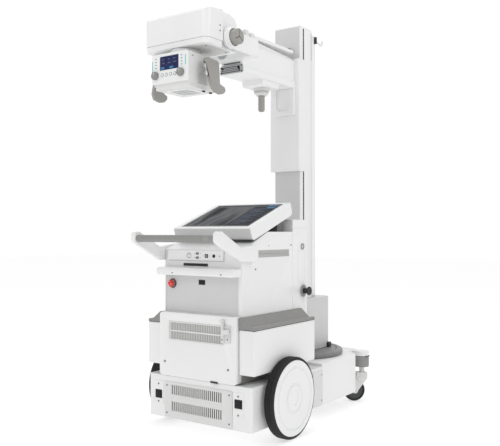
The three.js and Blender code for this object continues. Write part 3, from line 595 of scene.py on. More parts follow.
def build_drive_wheels():
    for side, sign in SIDES:
        tyre = Extent(f"tyre_{side}")
        hub = Extent(f"wheel_hub_{side}")
        r, inner, outer, face = tyre.half_z, tyre.near, tyre.far, hub.far
        centre = (0, tyre.cy, tyre.cz)
        middle = (inner + outer) / 2
        bead = r - 24
        groove = 1.6

        def place(profile):
            return [(radius, sign * h) for radius, h in profile]

        rubber = [(bead, inner), (r - 11, inner), (r - 6, inner + 1.2), (r - 2, inner + 4), (r, inner + 9)]
        for offset in (-9.0, 0.0, 9.0):
            at = middle + offset
            rubber += [(r, at - 1.6), (r - groove, at - 1.0), (r - groove, at + 1.0), (r, at + 1.6)]
        rubber += [(r, outer - 6), (r - 1.4, outer - 2.4), (r - 5, outer - 0.4), (r - 11, outer),
            (bead, outer), (bead, inner)]
        piece(f"tyre_{side}_tread", turned(place(rubber), "x", centre, 128), "tyre", f"drive_wheel_{side}",
            stands_for=[f"tyre_{side}"], angle=40)

        rim = r - 13.5
        ring, hub_ring = r * 0.76, r * 0.33
        disc = [(0, face - 9), (14, face - 9), (14, inner + 5), (60, inner + 5), (72, inner + 22),
            (bead - 9, inner + 22), (bead - 9, inner + 3), (bead - 0.5, inner + 3),
            (bead - 0.5, outer + 0.3), (rim - 1.5, outer + 0.3), (rim, outer + 1.0), (rim, face - 3.6),
            (rim - 1.2, face - 1.4), (rim - 4, face), (ring + 6, face), (ring + 1.5, face - 4.2),
            (ring - 2.5, face - 4.4), (ring - 7, face - 1.2), (hub_ring + 9, face - 3.6),
            (hub_ring + 3, face - 7.4), (hub_ring - 1, face - 7.0), (hub_ring - 6, face - 1.8),
            (hub_ring - 26, face - 0.8), (hub_ring - 29, face - 3.6), (hub_ring - 33, face - 3.6),
            (0, face - 3.6)]
        piece(f"wheel_cover_{side}", turned(place(disc), "x", centre, 128), "housing",
            f"drive_wheel_{side}", stands_for=[f"wheel_hub_{side}"], angle=24)


CASTER_X, CASTER_Y = 268.0, 804.0  # the swivel stems


def build_casters():
    for side, sign in SIDES:
        cap = Extent(f"caster_cap_{side}")
        split = cap.z1 - 26
        above = cuboid(cap.x0 - 5, cap.x1 + 5, cap.y0 - 5, cap.y1 + 5, split, cap.z1 + 5)
        below = cuboid(cap.x0 - 5, cap.x1 + 5, cap.y0 - 5, cap.y1 + 5, cap.z0 - 5, split + 2)
        refine(f"caster_cap_{side}", "grey", 4.0, [above])
        piece(f"caster_cap_lid_{side}", from_node(f"caster_cap_{side}"), "housing", "chassis", 7.0, 4,
            [below])
        for y in (cap.cy - 14, cap.cy + 10):
            mouth = rounded(y - 7, y + 7, split - 2.5, split + 2.5, 2)
            notch = slab(mouth, "x", *between(sign, cap.far - 4, cap.far + 0.6))
            piece(f"caster_notch_{side}_{int(y)}", notch, "black", "chassis", 0.5, 2)
        refine(f"caster_fork_{side}", "panel", 1.6)
        wheel = Extent(f"caster_wheel_{side}")
        joint = next(j for j in frame["joints"] if j["name"] == f"caster_{side}_spin")
        axis = Vector(joint["axis"]).normalized()
        across = axis.cross(Vector((0, 0, 1))).normalized()
        r, half, bore = wheel.half_z, 15.0, 6.4
        tread = [(r - 13, -half + 3), (r - 8, -half), (r - 3, -half + 2), (r, -half + 8), (r, half - 8),
            (r - 3, half - 2), (r - 8, half), (r - 13, half - 3), (r - 13, -half + 3)]
        web = [(bore, -half - 1), (14, -half - 1), (16, -half + 4), (r - 16, -half + 5),
            (r - 13.2, -half + 3.2), (r - 13.2, half - 3.2), (r - 16, half - 5), (16, half - 4),
            (14, half + 1), (bore, half + 1), (bore, -half - 1)]
        axes = (across, Vector((0, 0, 1)), axis)
        centre = (wheel.cx, wheel.cy, wheel.cz)
        piece(f"caster_tread_{side}", turned(tread, axes, centre, 72), "caster", f"caster_wheel_{side}",
            stands_for=[f"caster_wheel_{side}"], angle=45)
        piece(f"caster_web_{side}", turned(web, axes, centre, 48), "dark", f"caster_wheel_{side}", angle=45)
        hub_end = 25.5
        bolts = solid(*[(add_lathe, [(0, s * 21), (9, s * 21), (9, s * hub_end), (7, s * (hub_end + 1.5)),
            (0, s * (hub_end + 1.5))], axes, centre, 6) for s in (-1, 1)])
        piece(f"caster_bolts_{side}", bolts, "steel", f"caster_fork_{side}", angle=30)
        crown = (centre[0] * 0.35 + sign * CASTER_X * 0.65, centre[1] * 0.35 + CASTER_Y * 0.65,
            wheel.z1 + 6)
        boss = solid(*[(add_lathe, [(0, s * 22), (15, s * 22), (15, s * 26), (13, s * 28), (6, s * 28),
            (5, s * 26.5), (0, s * 26.5)], axes, crown, 36) for s in (-1, 1)])
        piece(f"caster_crown_{side}", boss, "panel", f"caster_fork_{side}", angle=35)


# ---------------------------------------------------------------- cabinet


def build_cabinet():
    shell = Extent("cabinet_shell")
    half, rear, front = shell.x1, shell.y0, shell.y1
    seam_y = front - 132
    groove = 0.9
    depth = 1.8
    vent = (-81.0, 168.0, 779.0, 810.0)
    cuts = solid()
    for sign in (1, -1):
        low, high = between(sign, half - depth, half + 5)
        add_box(cuts, low, high, seam_y - groove, seam_y + groove, shell.z0 - 5, 885)
        add_box(cuts, low, high, seam_y + groove + 1, front - 3, 908.5, 910.5)
        add_prism(cuts, rounded(*vent, 2), "x", *between(sign, half - 3, half + 5))
    add_box(cuts, half - 15, half - 13.2, rear - 5, rear + depth, shell.z0 - 5, 700)
    door = rounded(244, 311, 646, 812, 33, 10)
    recess = slab(door, "x", half - 1.8, half + 5)
    piece("cabinet_shell_finish", from_node("cabinet_shell"), "housing", "chassis", 3.2, 3, [cuts, recess],
        ["cabinet_shell"])
    inner_door = rounded(246, 309, 648, 810, 31, 10)
    piece("cabinet_door", slab(inner_door, "x", half - 2.0, half - 0.3), "housing", "chassis", 0.8, 2)

    for side, sign in SIDES:
        y0, y1, z0, z1 = vent[0] + 0.5, vent[1] - 0.5, vent[2] + 0.5, vent[3] - 0.5
        back = cuboid(*between(sign, half - 2.9, half - 2.4), y0, y1, z0, z1)
        piece(f"side_vent_back_{side}", back, "electronics", "chassis")
        low, high = between(sign, half - 2.9, half - 0.2)
        bars = cuboid(low, high, y0, y1, 793.4, 795.6)
        y = vent[0] + 2.5
        while y < vent[1] - 3:
            add_box(bars, low, high, y, y + 3.1, z0, z1)
            y += 5.9
        piece(f"side_vent_bars_{side}", bars, "trim", "chassis")

    # painted shade: a grey skin on the lower rear panel, partly the panel's grey paint and partly the shade under
    # the shelf
    shade_skin = cuboid(-half + 10, half - 17, rear - 0.7, rear + 0.3, 536, 699)
    piece("rear_lower_shade_skin", shade_skin, "shaded", "chassis", 0.3, 2)
    piece("rear_left_seam", cuboid(-half + 8.2, -half + 9.6, rear - 0.3, rear + 0.3, 536, 699), "dark",
        "chassis")
    for node, look in (("generator", "electronics"), ("computer_unit", "electronics"),
            ("battery_pack", "black")):
        paint_node(node, look)

    eyelet = [(9.5, -1), (9.5, 1.6), (11, 3.0), (14, 2.8), (15.5, 1.0), (15.5, -1), (9.5, -1)]
    piece("cabinet_eyelet", turned(eyelet, "x", (half, 287, 821), 40), "grey", "chassis", angle=60)
    piece("cabinet_eyelet_bore", turned([(0, -1), (9.4, -1), (9.4, 0.5), (0, 0.5)], "x", (half, 287, 821),
        40), "trim", "chassis", angle=40)
    for suffix, sign in (("", 1), ("_left", -1)):
        places = [(sign * half, 184, 829), (sign * half, -104, 729)]
        screws(f"cabinet_side_screws{suffix}", places, FACING[sign], "chassis", 3.6)
    lamp = [(0, 0), (3.0, 0), (3.0, 0.6), (0, 0.6)]
    piece("indicator_lamp", turned(lamp, "x", (half, -1, 829), 20), "window", "chassis", angle=60)

    face = rear - 0.7
    piece("front_window", slab(rounded(-14.5, 16.5, 662, 679, 2), "y", face - 1.4, face + 0.5), "glass",
        "chassis", 0.5, 2)
    piece("front_window_frame", slab(rounded(-17, 19, 659.5, 681.5, 3), "y", face - 0.9, face + 0.5),
        "black", "chassis", 0.4, 2)
    shelf = Extent("work_shelf")
    refine("work_shelf", "housing", 3.5)
    screws("shelf_screws", [(-119, shelf.y0, 711), (150, shelf.y0, 711)], "-y", "chassis", 3.2)


def build_pods():
    for side, sign in SIDES:
        pod = Extent(f"side_pod_{side}")
        refine(f"side_pod_{side}", "housing", 9.0, segments=4)
        ledge = Extent(f"side_ledge_{side}")
        inner, outer = ledge.near, ledge.far
        section = [(inner, ledge.z0), (outer - 0.5, ledge.z0), (outer - 0.5, ledge.z0 + 8),
            (outer - 4, ledge.z0 + 11), (outer - 20, ledge.z0 + 11), (outer - 24, ledge.z0 + 7.5),
            (outer - 29, ledge.z0 + 8), (inner + 11, ledge.z1 - 1), (inner, ledge.z1)]
        bm = solid((add_prism, [(sign * x, z) for x, z in section], "y", ledge.y0 + 0.5, ledge.y1 - 0.5),
            (add_prism, [(sign * inner, ledge.z0), (sign * (outer - 1), ledge.z0),
            (sign * (outer - 1), ledge.z0 + 10.6), (sign * (outer - 24), ledge.z0 + 11.5),
            (sign * (inner + 10), ledge.z1 + 1.5), (sign * inner, ledge.z1 + 1.5)], "y", ledge.y0 + 0.8,
            ledge.y0 + 22))
        piece(f"ledge_tray_{side}", bm, "grey", "chassis", 2.0, 3, stands_for=[f"side_ledge_{side}"])
        lip = slab([(sign * (outer - 19), ledge.z0 + 10.5), (sign * (outer - 4.5), ledge.z0 + 10.5),
            (sign * (outer - 4.5), ledge.z0 + 12.2), (sign * (outer - 19), ledge.z0 + 12.2)], "y",
            ledge.y0 + 3, ledge.y1 - 3)
        piece(f"ledge_lip_{side}", lip, "grip", "chassis", 0.7, 2)
        gap = cuboid(pod.x0 + 3, pod.x1 - 3, pod.y0 + 3, pod.y1 - 3, pod.z1 - 3, pod.z1 + 0.35)
        piece(f"pod_shadow_gap_{side}", gap, "dark", "chassis")


def build_service_panel():
    panel = Extent("rear_service_panel")
    face = panel.y0
    x0, x1, z0, z1 = -160.0, 145.0, 413.0, 497.0
    opening = slab(rounded(x0, x1, z0, z1, 4), "y", face - 5, face + 8)
    refine("rear_service_panel", "housing", 4.5, [opening])
    middle = (z0 + z1) / 2
    rim = slab(rounded(x0 + 0.4, x1 - 0.4, z0 + 0.4, z1 - 0.4, 4), "y", face - 1.6, face + 3.5)
    windows = solid((add_box, x0 + 13, x1 - 3.5, face - 5, face + 8, z0 + 6, middle - 3.5),
        (add_box, x0 + 13, x1 - 3.5, face - 5, face + 8, middle + 3.5, z1 - 6))
    piece("grille_frame", rim, "panel", "chassis", 0.9, 2, [windows])
    fins = solid()
    pitch = 9.4
    count = int((x1 - x0 - 17) / pitch)
    for row in ((z0 + 6.2, middle - 3.7), (middle + 3.7, z1 - 6.2)):
        for i in range(count):
            x = x0 + 15 + i * pitch
            add_prism(fins, [(x, face + 0.5), (x + 4.2, face + 0.5), (x + 6.4, face + 5),
                (x + 4.2, face + 5)], "z", *row)
    piece("grille_fins", fins, "trim", "chassis")
    piece("grille_mesh", cuboid(x0 - 2, x1 + 2, face + 5.2, face + 6.0, z0 - 2, z1 + 2), "electronics",
        "chassis")
    left_bar = cuboid(x0 + 3, x0 + 9, face - 2.4, face - 1.2, z0 + 4, z1 - 4)
    piece("grille_side_bar", left_bar, "trim", "chassis", 0.5, 2)
    screws("service_screws", [(-182, face, 315), (170, face, 314)], "-y", "chassis", 4.6)
    piece("service_latch", slab(rounded(76, 116, 249.6, 257.5, 2), "y", face - 2, face + 3), "black",
        "chassis", 0.7, 2)

    hook = slab(rounded(138, 184, 424, 500, 6), "y", face - 4, face - 0.2)
    piece("bracket_plate", hook, "panel", "chassis", 1.2, 2)
    strap = filleted([(face - 4, 424), (face - 4, 520), (face - 9, 524), (face - 24, 524),
        (face - 24, 510), (face - 19, 510), (face - 19, 515), (face - 12, 515), (face - 12, 424)], 2.5)
    piece("bracket_strap", slab(strap, "x", 141, 153), "panel", "chassis", 1.0, 2)
    clamp = solid((add_lathe, [(10, -9), (16, -9), (16, 9), (10, 9), (10, -9)], "z", (170, face - 19, 474),
        32), (add_box, 163, 177, face - 8, face - 3.5, 466, 482))
    piece("bracket_ring", clamp, "panel", "chassis", angle=45)
    screws("bracket_screws", [(170, face - 4, 440), (147, face - 12, 440)], "-y", "chassis", 3.0)


def build_connectors():
    plate = Extent("connector_plate")
    face = plate.y0
    refine("connector_plate", "housing", 2.4, segments=3)
    power = Extent("power_button")
    cz, r = power.cz, power.half_x
    # painted shadow: a grey rim round the plate, wider at the right and bottom, stands for the shadow the proud
    # plate casts
    outline = rounded(plate.x0 - 1.5, plate.x1 + 3.5, plate.z0 - 3.5, plate.z1 + 1.0, 6)
    hole = [(0, -12), (r + 1.5, -12), (r + 1.5, 12), (0, 12)]
    piece("connector_plate_shadow", slab(outline, "y", plate.y1 - 1.2, plate.y1 + 0.4), "trim", "chassis", 0.5,
        2, [turned(hole, "y", (power.cx, plate.y1, cz), 40)])
    usb, network, round_socket, lamp_x = (power.cx + step for step in (46.6, 97.6, 138.6, 169.6))
    sockets = [(usb, cz + 10, 8.0, 4.6), (usb, cz - 8, 8.0, 4.6), (network, cz, 8.6, 8.0)]
    bm = solid(*[(add_prism, rounded(x - w, x + w, z - h, z + h, 1.5), "y", face - 1.2, face + 0.5)
        for x, z, w, h in sockets])
    add_lathe(bm, [(0, 0.5), (7.4, 0.5), (7.4, -1.6), (5.0, -1.6), (4.4, 0), (0, 0)], "y",
        (round_socket, face, cz), 32)
    piece("sockets", bm, "black", "chassis", 0.5, 2)
    tongue = solid(*[(add_box, x - w * 0.55, x + w * 0.55, face - 1.5, face - 1.0, z - h * 0.25,
        z + h * 0.25) for x, z, w, h in sockets])
    piece("socket_contacts", tongue, "steel", "chassis")
    dots = [(x + s * 17, z) for x, z, _, _ in sockets for s in (-1, 1)]
    screws("socket_screws", [(x, face, z) for x, z in dots], "-y", "chassis", 1.5)
    lamp = turned([(0, 0.4), (3.4, 0.4), (3.4, -1.0), (2.4, -1.7), (0, -1.9)], "y", (lamp_x, face, cz), 24)
    piece("ready_lamp", lamp, "window", "chassis", angle=60)

    wall = Extent("cabinet_shell").y0
    slot = slab(rounded(-104, 34, 740.5, 752.5, 2.5), "y", wall - 1.8, wall + 0.5)
    piece("media_slot", slot, "black", "chassis", 0.5, 2)

    depth = power.y1 - power.y0
    cap = [(0, 0), (r - 0.6, 0), (r, 0.6), (r, depth - 1.2), (r - 1.2, depth), (r - 3.2, depth),
        (r - 4.2, depth - 0.8), (0, depth - 1.1)]
    turned_out = [(radius, -h) for radius, h in cap]
    piece("power_cap", turned(turned_out, "y", (power.cx, power.y1, power.cz), 40), "housing",
        "power_button", stands_for=["power_button"], angle=30)
    ring = [(r + 0.9, 0.4), (r + 0.9, -1.2), (r + 1.6, -1.8), (r + 3.2, -1.4), (r + 3.6, 0.4),
        (r + 0.9, 0.4)]
    piece("power_bezel", turned(ring, "y", (power.cx, face, power.cz), 40), "steel", "chassis", angle=50)

    stop = Extent("stop_button")
    head = stop.half_x
    reach = wall - stop.y0
    dome = [(0, 10), (9, 10), (9, -6), (head - 2, -9), (head - 0.2, -11.5), (head, -14.5),
        (head - 1.4, -18), (head - 5, -reach + 2.4), (head - 10, -reach + 0.6), (0, -reach)]
    piece("stop_mushroom", turned(dome, "y", (stop.cx, wall, stop.cz), 56), "red", "stop_button",
        stands_for=["stop_button"], angle=50)
    arrows = solid()
    for k in range(3):
        angle = math.radians(90 + 120 * k)
        points = [(4.6, -0.5), (5.2, 0.55), (4.2, 0.75)]
        flat = [(stop.cx + (head * a / 8) * math.cos(angle + b),
            stop.cz + (head * a / 8) * math.sin(angle + b)) for a, b in points]
        add_prism(arrows, flat, "y", stop.y0 + 0.6, stop.y0 + 2.6)
    piece("stop_arrows", arrows, "trim", "stop_button")
    collar = [(head + 0.8, 0.5), (head + 4, 0.5), (head + 4, -2.4), (head + 2.4, -5), (head + 0.8, -5),
        (head + 0.8, 0.5)]
    piece("stop_collar", turned(collar, "y", (stop.cx, wall, stop.cz), 56), "black", "chassis", angle=40)

    bobbin = Extent("cord_bobbin")
    start = (bobbin.x0, bobbin.cy, bobbin.cz)
    flange = bobbin.half_z
    length = bobbin.x1 - bobbin.x0
    disc = [(13, 0), (flange - 1, 0), (flange, 1.2), (flange, 4), (flange - 2, 5.2), (15, 6.2), (13, 6.2),
        (13, 0)]
    piece("bobbin_flange", turned(disc, "x", start, 56), "grey", "chassis", angle=35)
    spool = [(0, 0), (12.5, 0), (12.5, length - 12), (15, length - 9), (19.5, length - 8),
        (20.5, length - 6.5), (20.5, length - 2), (18.5, length), (8, length), (7, length - 1.6),
        (0, length - 1.6)]
    piece("bobbin_spool", turned(spool, "x", start, 56), "black", "chassis", stands_for=["cord_bobbin"],
        angle=35)
    base_ring = [(flange + 0.5, 0.2), (flange + 4.5, 0.2), (flange + 4.5, 1.8), (flange + 2.5, 2.6),
        (flange + 0.5, 2.0), (flange + 0.5, 0.2)]
    piece("bobbin_plate", turned(base_ring, "x", start, 56), "trim", "chassis", angle=60)


def build_handle():
    for side in ("right", "left"):
        refine(f"handle_arm_{side}", "housing", 6.0, segments=4)
    bar = Extent("handle_bar")
    r, end = bar.half_z, bar.x1
    profile = [(0, -end), (r - 1, -end), (r, -end + 1), (r, -end + 26), (r - 0.8, -end + 27),
        (r - 0.8, -end + 29), (r, -end + 30), (r, end - 64), (r - 0.8, end - 63), (r - 0.8, end - 61),
        (r, end - 60), (r, end - 1), (r - 1, end), (0, end)]
    piece("handle_tube", turned(profile, "x", (0, bar.cy, bar.cz), 56), "grey", "chassis",
        stands_for=["handle_bar"], angle=40)
    key = slab(rounded(end - 54, end - 24, bar.cz - 6, bar.cz + 6, 5), "y", bar.y0 - 1.2, bar.cy)
    piece("handle_switch_mark", key, "grip", "chassis", 0.8, 2)


def build_monitor():
    # the monitor shell carries painted shade on its downward, rear-facing faces
    refine("monitor_shell", "shade_painted_case", 11.0, segments=5)
    refine("monitor_mount", "grey_paint", 3.0)
    paint_node("monitor_screen", "glass")
    screen = Extent("monitor_screen")
    corners = [TO_ROW.inverted() @ v.co for v in NODES["monitor_screen"].data.vertices]
    front = max((c for c in corners if c.y < screen.cy - 20), key=lambda c: c.z)
    back = max((c for c in corners if c.y > screen.cy + 20), key=lambda c: c.z)
    along = back - front
    length = along.length
    along.normalize()
    up = Vector((1, 0, 0)).cross(along)
    half = screen.x1
    base = Vector((0, front.y, front.z))

    def add_tile(bm, u0, u1, v0, v1, lift):
        """A thin tile on the display: u is a share of its half width, v a share of its height."""
        outline = [base + Vector((u * half, 0, 0)) + along * (v * length)
            for u, v in ((u0, v0), (u1, v0), (u1, v1), (u0, v1))]
        add_loft(bm, [p + up * (lift - 0.25) for p in outline], [p + up * lift for p in outline])

    piece("display_film", solid((add_tile, -0.93, 0.24, 0.05, 0.90, 0.35)), "film", "monitor")
    piece("display_list", solid((add_tile, 0.27, 0.95, 0.05, 0.90, 0.35)), "list", "monitor")
    rows = solid(*[(add_tile, 0.32, 0.32 + 0.52 * (0.55 + 0.45 * ((i * 7) % 5) / 4), 0.13 + i * 0.058,
        0.145 + i * 0.058, 0.5) for i in range(12)])
    piece("display_rows", rows, "row", "monitor")
    piece("display_header", solid((add_tile, -0.95, 0.62, 0.925, 0.965, 0.35)), "list", "monitor")
    piece("display_tabs", solid((add_tile, 0.64, 0.78, 0.925, 0.965, 0.4),
        (add_tile, 0.80, 0.95, 0.925, 0.965, 0.4), (add_tile, 0.70, 0.93, 0.80, 0.86, 0.5)), "blue",
        "monitor")

    shell = Extent("monitor_shell")
    side, reach = shell.x1 - 10, length + 40
    outline = [base - along * 22 + Vector((x, 0, 0)) + along * v
        for x, v in ((-side, 0), (side, 0), (side, reach), (-side, reach))]
    gasket = solid((add_loft, [p + up * -63.0 for p in outline], [p + up * -58.0 for p in outline]))
    piece("monitor_underplate", gasket, "dark", "monitor", 1.5, 2)


# ---------------------------------------------------------------- column and arm


def build_column():
    mast = Extent("mast")
    refine("mast", "paint", 2.2)
    refine("mast_front_cover", "housing", 4.0)
    # painted shade: the foot cover takes the grey look for the shade on its sides
    refine("foot_cover", "shaded", 7.0, segments=4)
    wall = 76.5
    slit_y = 527.0
    links = solid()
    z = 566.0
    while z < mast.z1 - 30:
        for sign in (1, -1):
            add_box(links, *between(sign, wall + 0.4, wall + 0.7), slit_y - 3.0, slit_y + 3.0, z, z + 4)
        z += 19
    piece("lift_chain_links", links, "electronics", "column")
    # painted shade: near-black linings in the column slits stand for the dark inside of the slits
    slit_shade_lining = solid(*[(add_box, *between(s, wall - 6.0, wall + 0.4), slit_y - 5.0, slit_y + 5.0, 556,
        mast.z1 - 10) for s in (1, -1)])
    piece("slit_shade_linings", slit_shade_lining, "void", "column")
    rear, joint_y = 495.0, 606.2
    # painted shade: a grey skin on the column's rear face, partly grey paint and partly the shade that face is in
    shade_skin = cuboid(-wall + 1.5, wall - 4, rear - 0.6, rear + 0.3, 556, mast.z1 - 5)
    piece("mast_rear_shade_skin", shade_skin, "shaded", "column", 0.3, 2)
    for name, look, z0, z1 in (("upper", "black", 1790, mast.z1 - 12), ("lower", "shaded", 560, 1789)):
        lines = solid(*[(add_box, *between(s, wall - 0.5, wall + 0.35), joint_y - 1.4, joint_y + 1.4, z0,
            z1) for s in (1, -1)])
        piece(f"mast_joint_{name}", lines, look, "column")

    carrier = slab(filleted([(600, 1790), (650, 1790), (650, 1928), (600, 1928)], [4, 4, 10, 4]), "x",
        wall - 44, wall - 1)
    piece("hook_carrier", carrier, "paint", "column", 3.0, 3)
    block = slab(rounded(638, 652, 1886, 1922, 3), "x", wall - 2, wall + 9)
    piece("hook_block", block, "black", "column", 1.2, 2)
    bend = [(650, 1900), (668, 1896), (686, 1890), (700, 1888), (710, 1892), (714, 1902), (714, 1914)]
    path = [(wall + 4, y, z) for y, z in bend]
    piece("cable_hook", solid((add_sweep, path, 4.5, 14)), "panel", "column", angle=50)
    knob = [(0, 0), (5, 0), (5, 8), (9, 10), (10, 13), (10, 19), (8, 21), (0, 21)]
    piece("column_stop_knob", turned([(r, -h) for r, h in knob], "y", (20, rear - 0.6, 1826), 32), "black",
        "column", angle=35)
    screws("mast_rear_screws", [(-15, rear - 0.6, 1838)], "-y", "column", 3.2)
    foot = Extent("foot_cover")
    outlet = slab(rounded(foot.x1 - 20, foot.x1 + 12, foot.y1 - 50, foot.y1 - 18, 5), "z", foot.z0 - 1,
        foot.z0 + 24)
    piece("cable_outlet", outlet, "black", "column", 4, 3)


def build_carriage():
    saddle = Extent("carriage")
    refine("carriage", "paint", 4.0)
    face = saddle.y0
    gusset = slab(filleted([(-66, 1484), (66, 1484), (66, 1621), (-66, 1621)], [16, 16, 0, 0]), "y",
        face - 20, face - 0.2)
    hollow = slab(filleted([(-40, 1508), (42, 1508), (42, 1630), (-40, 1630)], 30), "y", face - 30,
        face - 10)
    piece("arm_gusset", gusset, "paint", "carriage", 5.0, 4, [hollow])


def build_arm():
    sleeve = Extent("arm_sleeve")
    refine("arm_sleeve", "paint", 4.0)
    rail = Extent("arm_rail")
    end = rail.y0
    refine("arm_rail", "aluminium", 1.0, (), 2)
    low, high = 1622.0, 1660.0
    face = end - 5
    inside = slab(rounded(-56, 48, low + 6, high - 6, 4), "y", face - 5, end + 5)
    piece("rail_end_frame", slab(rounded(-64, 64, low, high, 4), "y", face, end - 0.2), "aluminium",
        "carriage", 0.8, 2, [inside])
    ribs = solid((add_prism, rounded(-53, 41, low + 9, low + 14.5, 2), "y", face + 0.8, end - 0.5),
        (add_prism, rounded(-53, 37, low + 17, low + 22, 2), "y", face + 0.8, end - 0.5),
        (add_prism, rounded(-46, 34, high - 13.5, high - 9, 2), "y", face + 0.8, end - 0.5))
    piece("rail_end_ribs", ribs, "aluminium", "carriage", 0.5, 2)
    # painted shade: a near-black sheet in the rail end stands for the dark inside of the opening
    piece("rail_end_shade_backing", cuboid(-58, 50, end - 1.0, end - 0.3, low + 4, high - 4), "void", "carriage")
    holes = [(x, face, z) for x in (-58, 58) for z in (low + 6, high - 7)]
    screws("rail_end_screws", holes, "-y", "carriage", 3.4, "black")
    cover = slab(rounded(-57, 57, 74, 462, 6), "z", sleeve.z1 - 0.5, sleeve.z1 + 16)
    piece("arm_top_cover", cover, "housing", "carriage", 2.6, 3)
    refine("inner_arm", "aluminium", 2.0)

    collar = Extent("arm_grip")
    cx, cy = collar.cx, collar.cy
    r, top, stem = collar.half_x, collar.z1, 16.0
    tube = [(0, collar.z0), (stem - 8, collar.z0 + 0.8), (stem - 3, collar.z0 + 3.5),
        (stem - 0.6, collar.z0 + 8), (stem, collar.z0 + 14), (stem, top - 34), (0, top - 34)]
    piece("grip_rod", turned(tube, "z", (cx, cy, 0), 48), "grip", "arm_grip", stands_for=["arm_grip"],
        angle=45)
    piece("grip_knurl", slab(knurled(cx, cy, r - 5, 2.0, 40), "z", top - 24, top - 12), "trim", "arm_grip",
        0.4, 2)
    taper = [(0, top - 35), (r - 15, top - 35), (r - 13, top - 33), (r - 6, top - 25), (r - 6, top - 24),
        (0, top - 24)]
    piece("grip_nut", turned(taper, "z", (cx, cy, 0), 64), "panel", "arm_grip", angle=35)
    neck = [(0, top - 12), (r - 1, top - 12), (r, top - 10.5), (r, top - 2), (r - 1.5, top), (0, top)]
    piece("grip_collar", turned(neck, "z", (cx, cy, 0), 64), "panel", "arm_grip", angle=35)


# ---------------------------------------------------------------- tube head


def build_tube_head():
    yoke = Extent("yoke")
    refine("yoke", "housing", 5.0, segments=4)
    knob = Extent("tilt_knob")
    cy, cz, r = knob.cy, knob.cz, knob.half_z
    start, end = knob.x0, knob.x1
    wall, collar = yoke.x1, yoke.x1 + 19
    boss = [(r - 4, wall - 1.5), (r + 11, wall - 1.5), (r + 11, wall + 1.5), (r + 9.5, wall + 4),
        (r + 6.5, wall + 5), (r + 6, collar - 3), (r + 4.5, collar - 0.8), (r + 1.5, collar),
        (r + 1.5, wall + 0.2), (r - 4, wall + 0.2), (r - 4, wall - 1.5)]
    piece("tilt_boss", turned(boss, "x", (0, cy, cz), 72), "housing", "yoke", angle=50)
    body = [(0, start), (r, start), (r, start + 9), (r - 2.5, start + 11), (r - 2.5, end - 2),
        (r - 3.3, end - 0.6), (r - 5, end - 0.6), (r - 5, end - 2.6), (0, end - 2.6)]
    piece("tilt_knob_body", turned(body, "x", (0, cy, cz), 72), "grip", "tilt_knob",
        stands_for=["tilt_knob"], angle=40)
    pads = bmesh.new()
    pad_r, gap = r - 5.5, 1.5
    inset = math.degrees(math.asin(gap / pad_r))
    for k in range(3):
        start_angle = 90 + 120 * k
        middle = math.radians(start_angle + 60)
        tip = gap / math.sin(math.radians(60))
        rim = arc(0, 0, pad_r, start_angle + inset, start_angle + 120 - inset, 16)
        points = [(tip * math.cos(middle), tip * math.sin(middle)), *rim]
        add_prism(pads, [(cy + u, cz + v) for u, v in points], "x", end - 2.4, end)
    piece("tilt_knob_pads", pads, "grip", "tilt_knob", 0.8, 2)
    # painted shade: a dark disc at the floor of the grooves between the pads darkens the grooves
    groove = turned([(0, end - 2.8), (r - 5.2, end - 2.8), (r - 5.2, end - 2.3), (0, end - 2.3)], "x",
        (0, cy, cz), 48)
    piece("tilt_knob_groove_shade", groove, "dark", "tilt_knob")

    for side, sign in SIDES:
        low, high = between(sign, yoke.x1 - 18, yoke.x1 - 1)
        clamps = solid()
        for y, tall in ((-126, 26), (-84, 21)):
            foot, crest = yoke.z1 - 0.5, yoke.z1 + tall
            outline = [(y, foot), (y + 26, foot), (y + 26, crest - 6), (y + 19, crest), (y, crest)]
            add_prism(clamps, filleted(outline, 2.5), "x", low, high)
        piece(f"yoke_clamps_{side}", clamps, "panel", "yoke", 1.4, 2)

    head = Extent("tube_shell")
    refine("tube_shell", "housing", 20.0, segments=6)
    refine("tube_tray", "housing", 4.0)
    paint_node("tube_insert", "copper")
    tray = Extent("tube_tray")
    under = slab(rounded(-150, 150, tray.y0 + 26, tray.y1 - 20, 22), "z", tray.z0 - 1.6, tray.z0 + 0.5)
    ring_hole = turned([(0, tray.z0 - 9), (66, tray.z0 - 9), (66, tray.z0 + 9), (0, tray.z0 + 9)], "z",
        (0, -320, 0), 64)
    piece("tray_underplate", under, "trim", "tube_head", 0.6, 2, [ring_hole])
    screws("tray_screws", [(x, y, tray.z0 - 1.6) for x in (-132, 132)
        for y in (tray.y0 + 44, tray.y1 - 40)], "-z", "tube_head", 3.4)
    flank = 174.5
    for suffix, sign in (("", 1), ("_left", -1)):
        places = [(sign * flank, -304, z) for z in (1742, 1720)]
        screws(f"head_side_screws{suffix}", places, FACING[sign], "tube_head", 2.8, "black")
    cap = slab(filleted([(head.y1 - 34, 1762), (head.y1 - 4, 1762), (head.y1 - 4, 1784),
        (head.y1 - 14, 1798), (head.y1 - 34, 1802)], 3), "x", 100, 150)
    piece("head_vent_cap", cap, "panel", "tube_head", 1.5, 2)


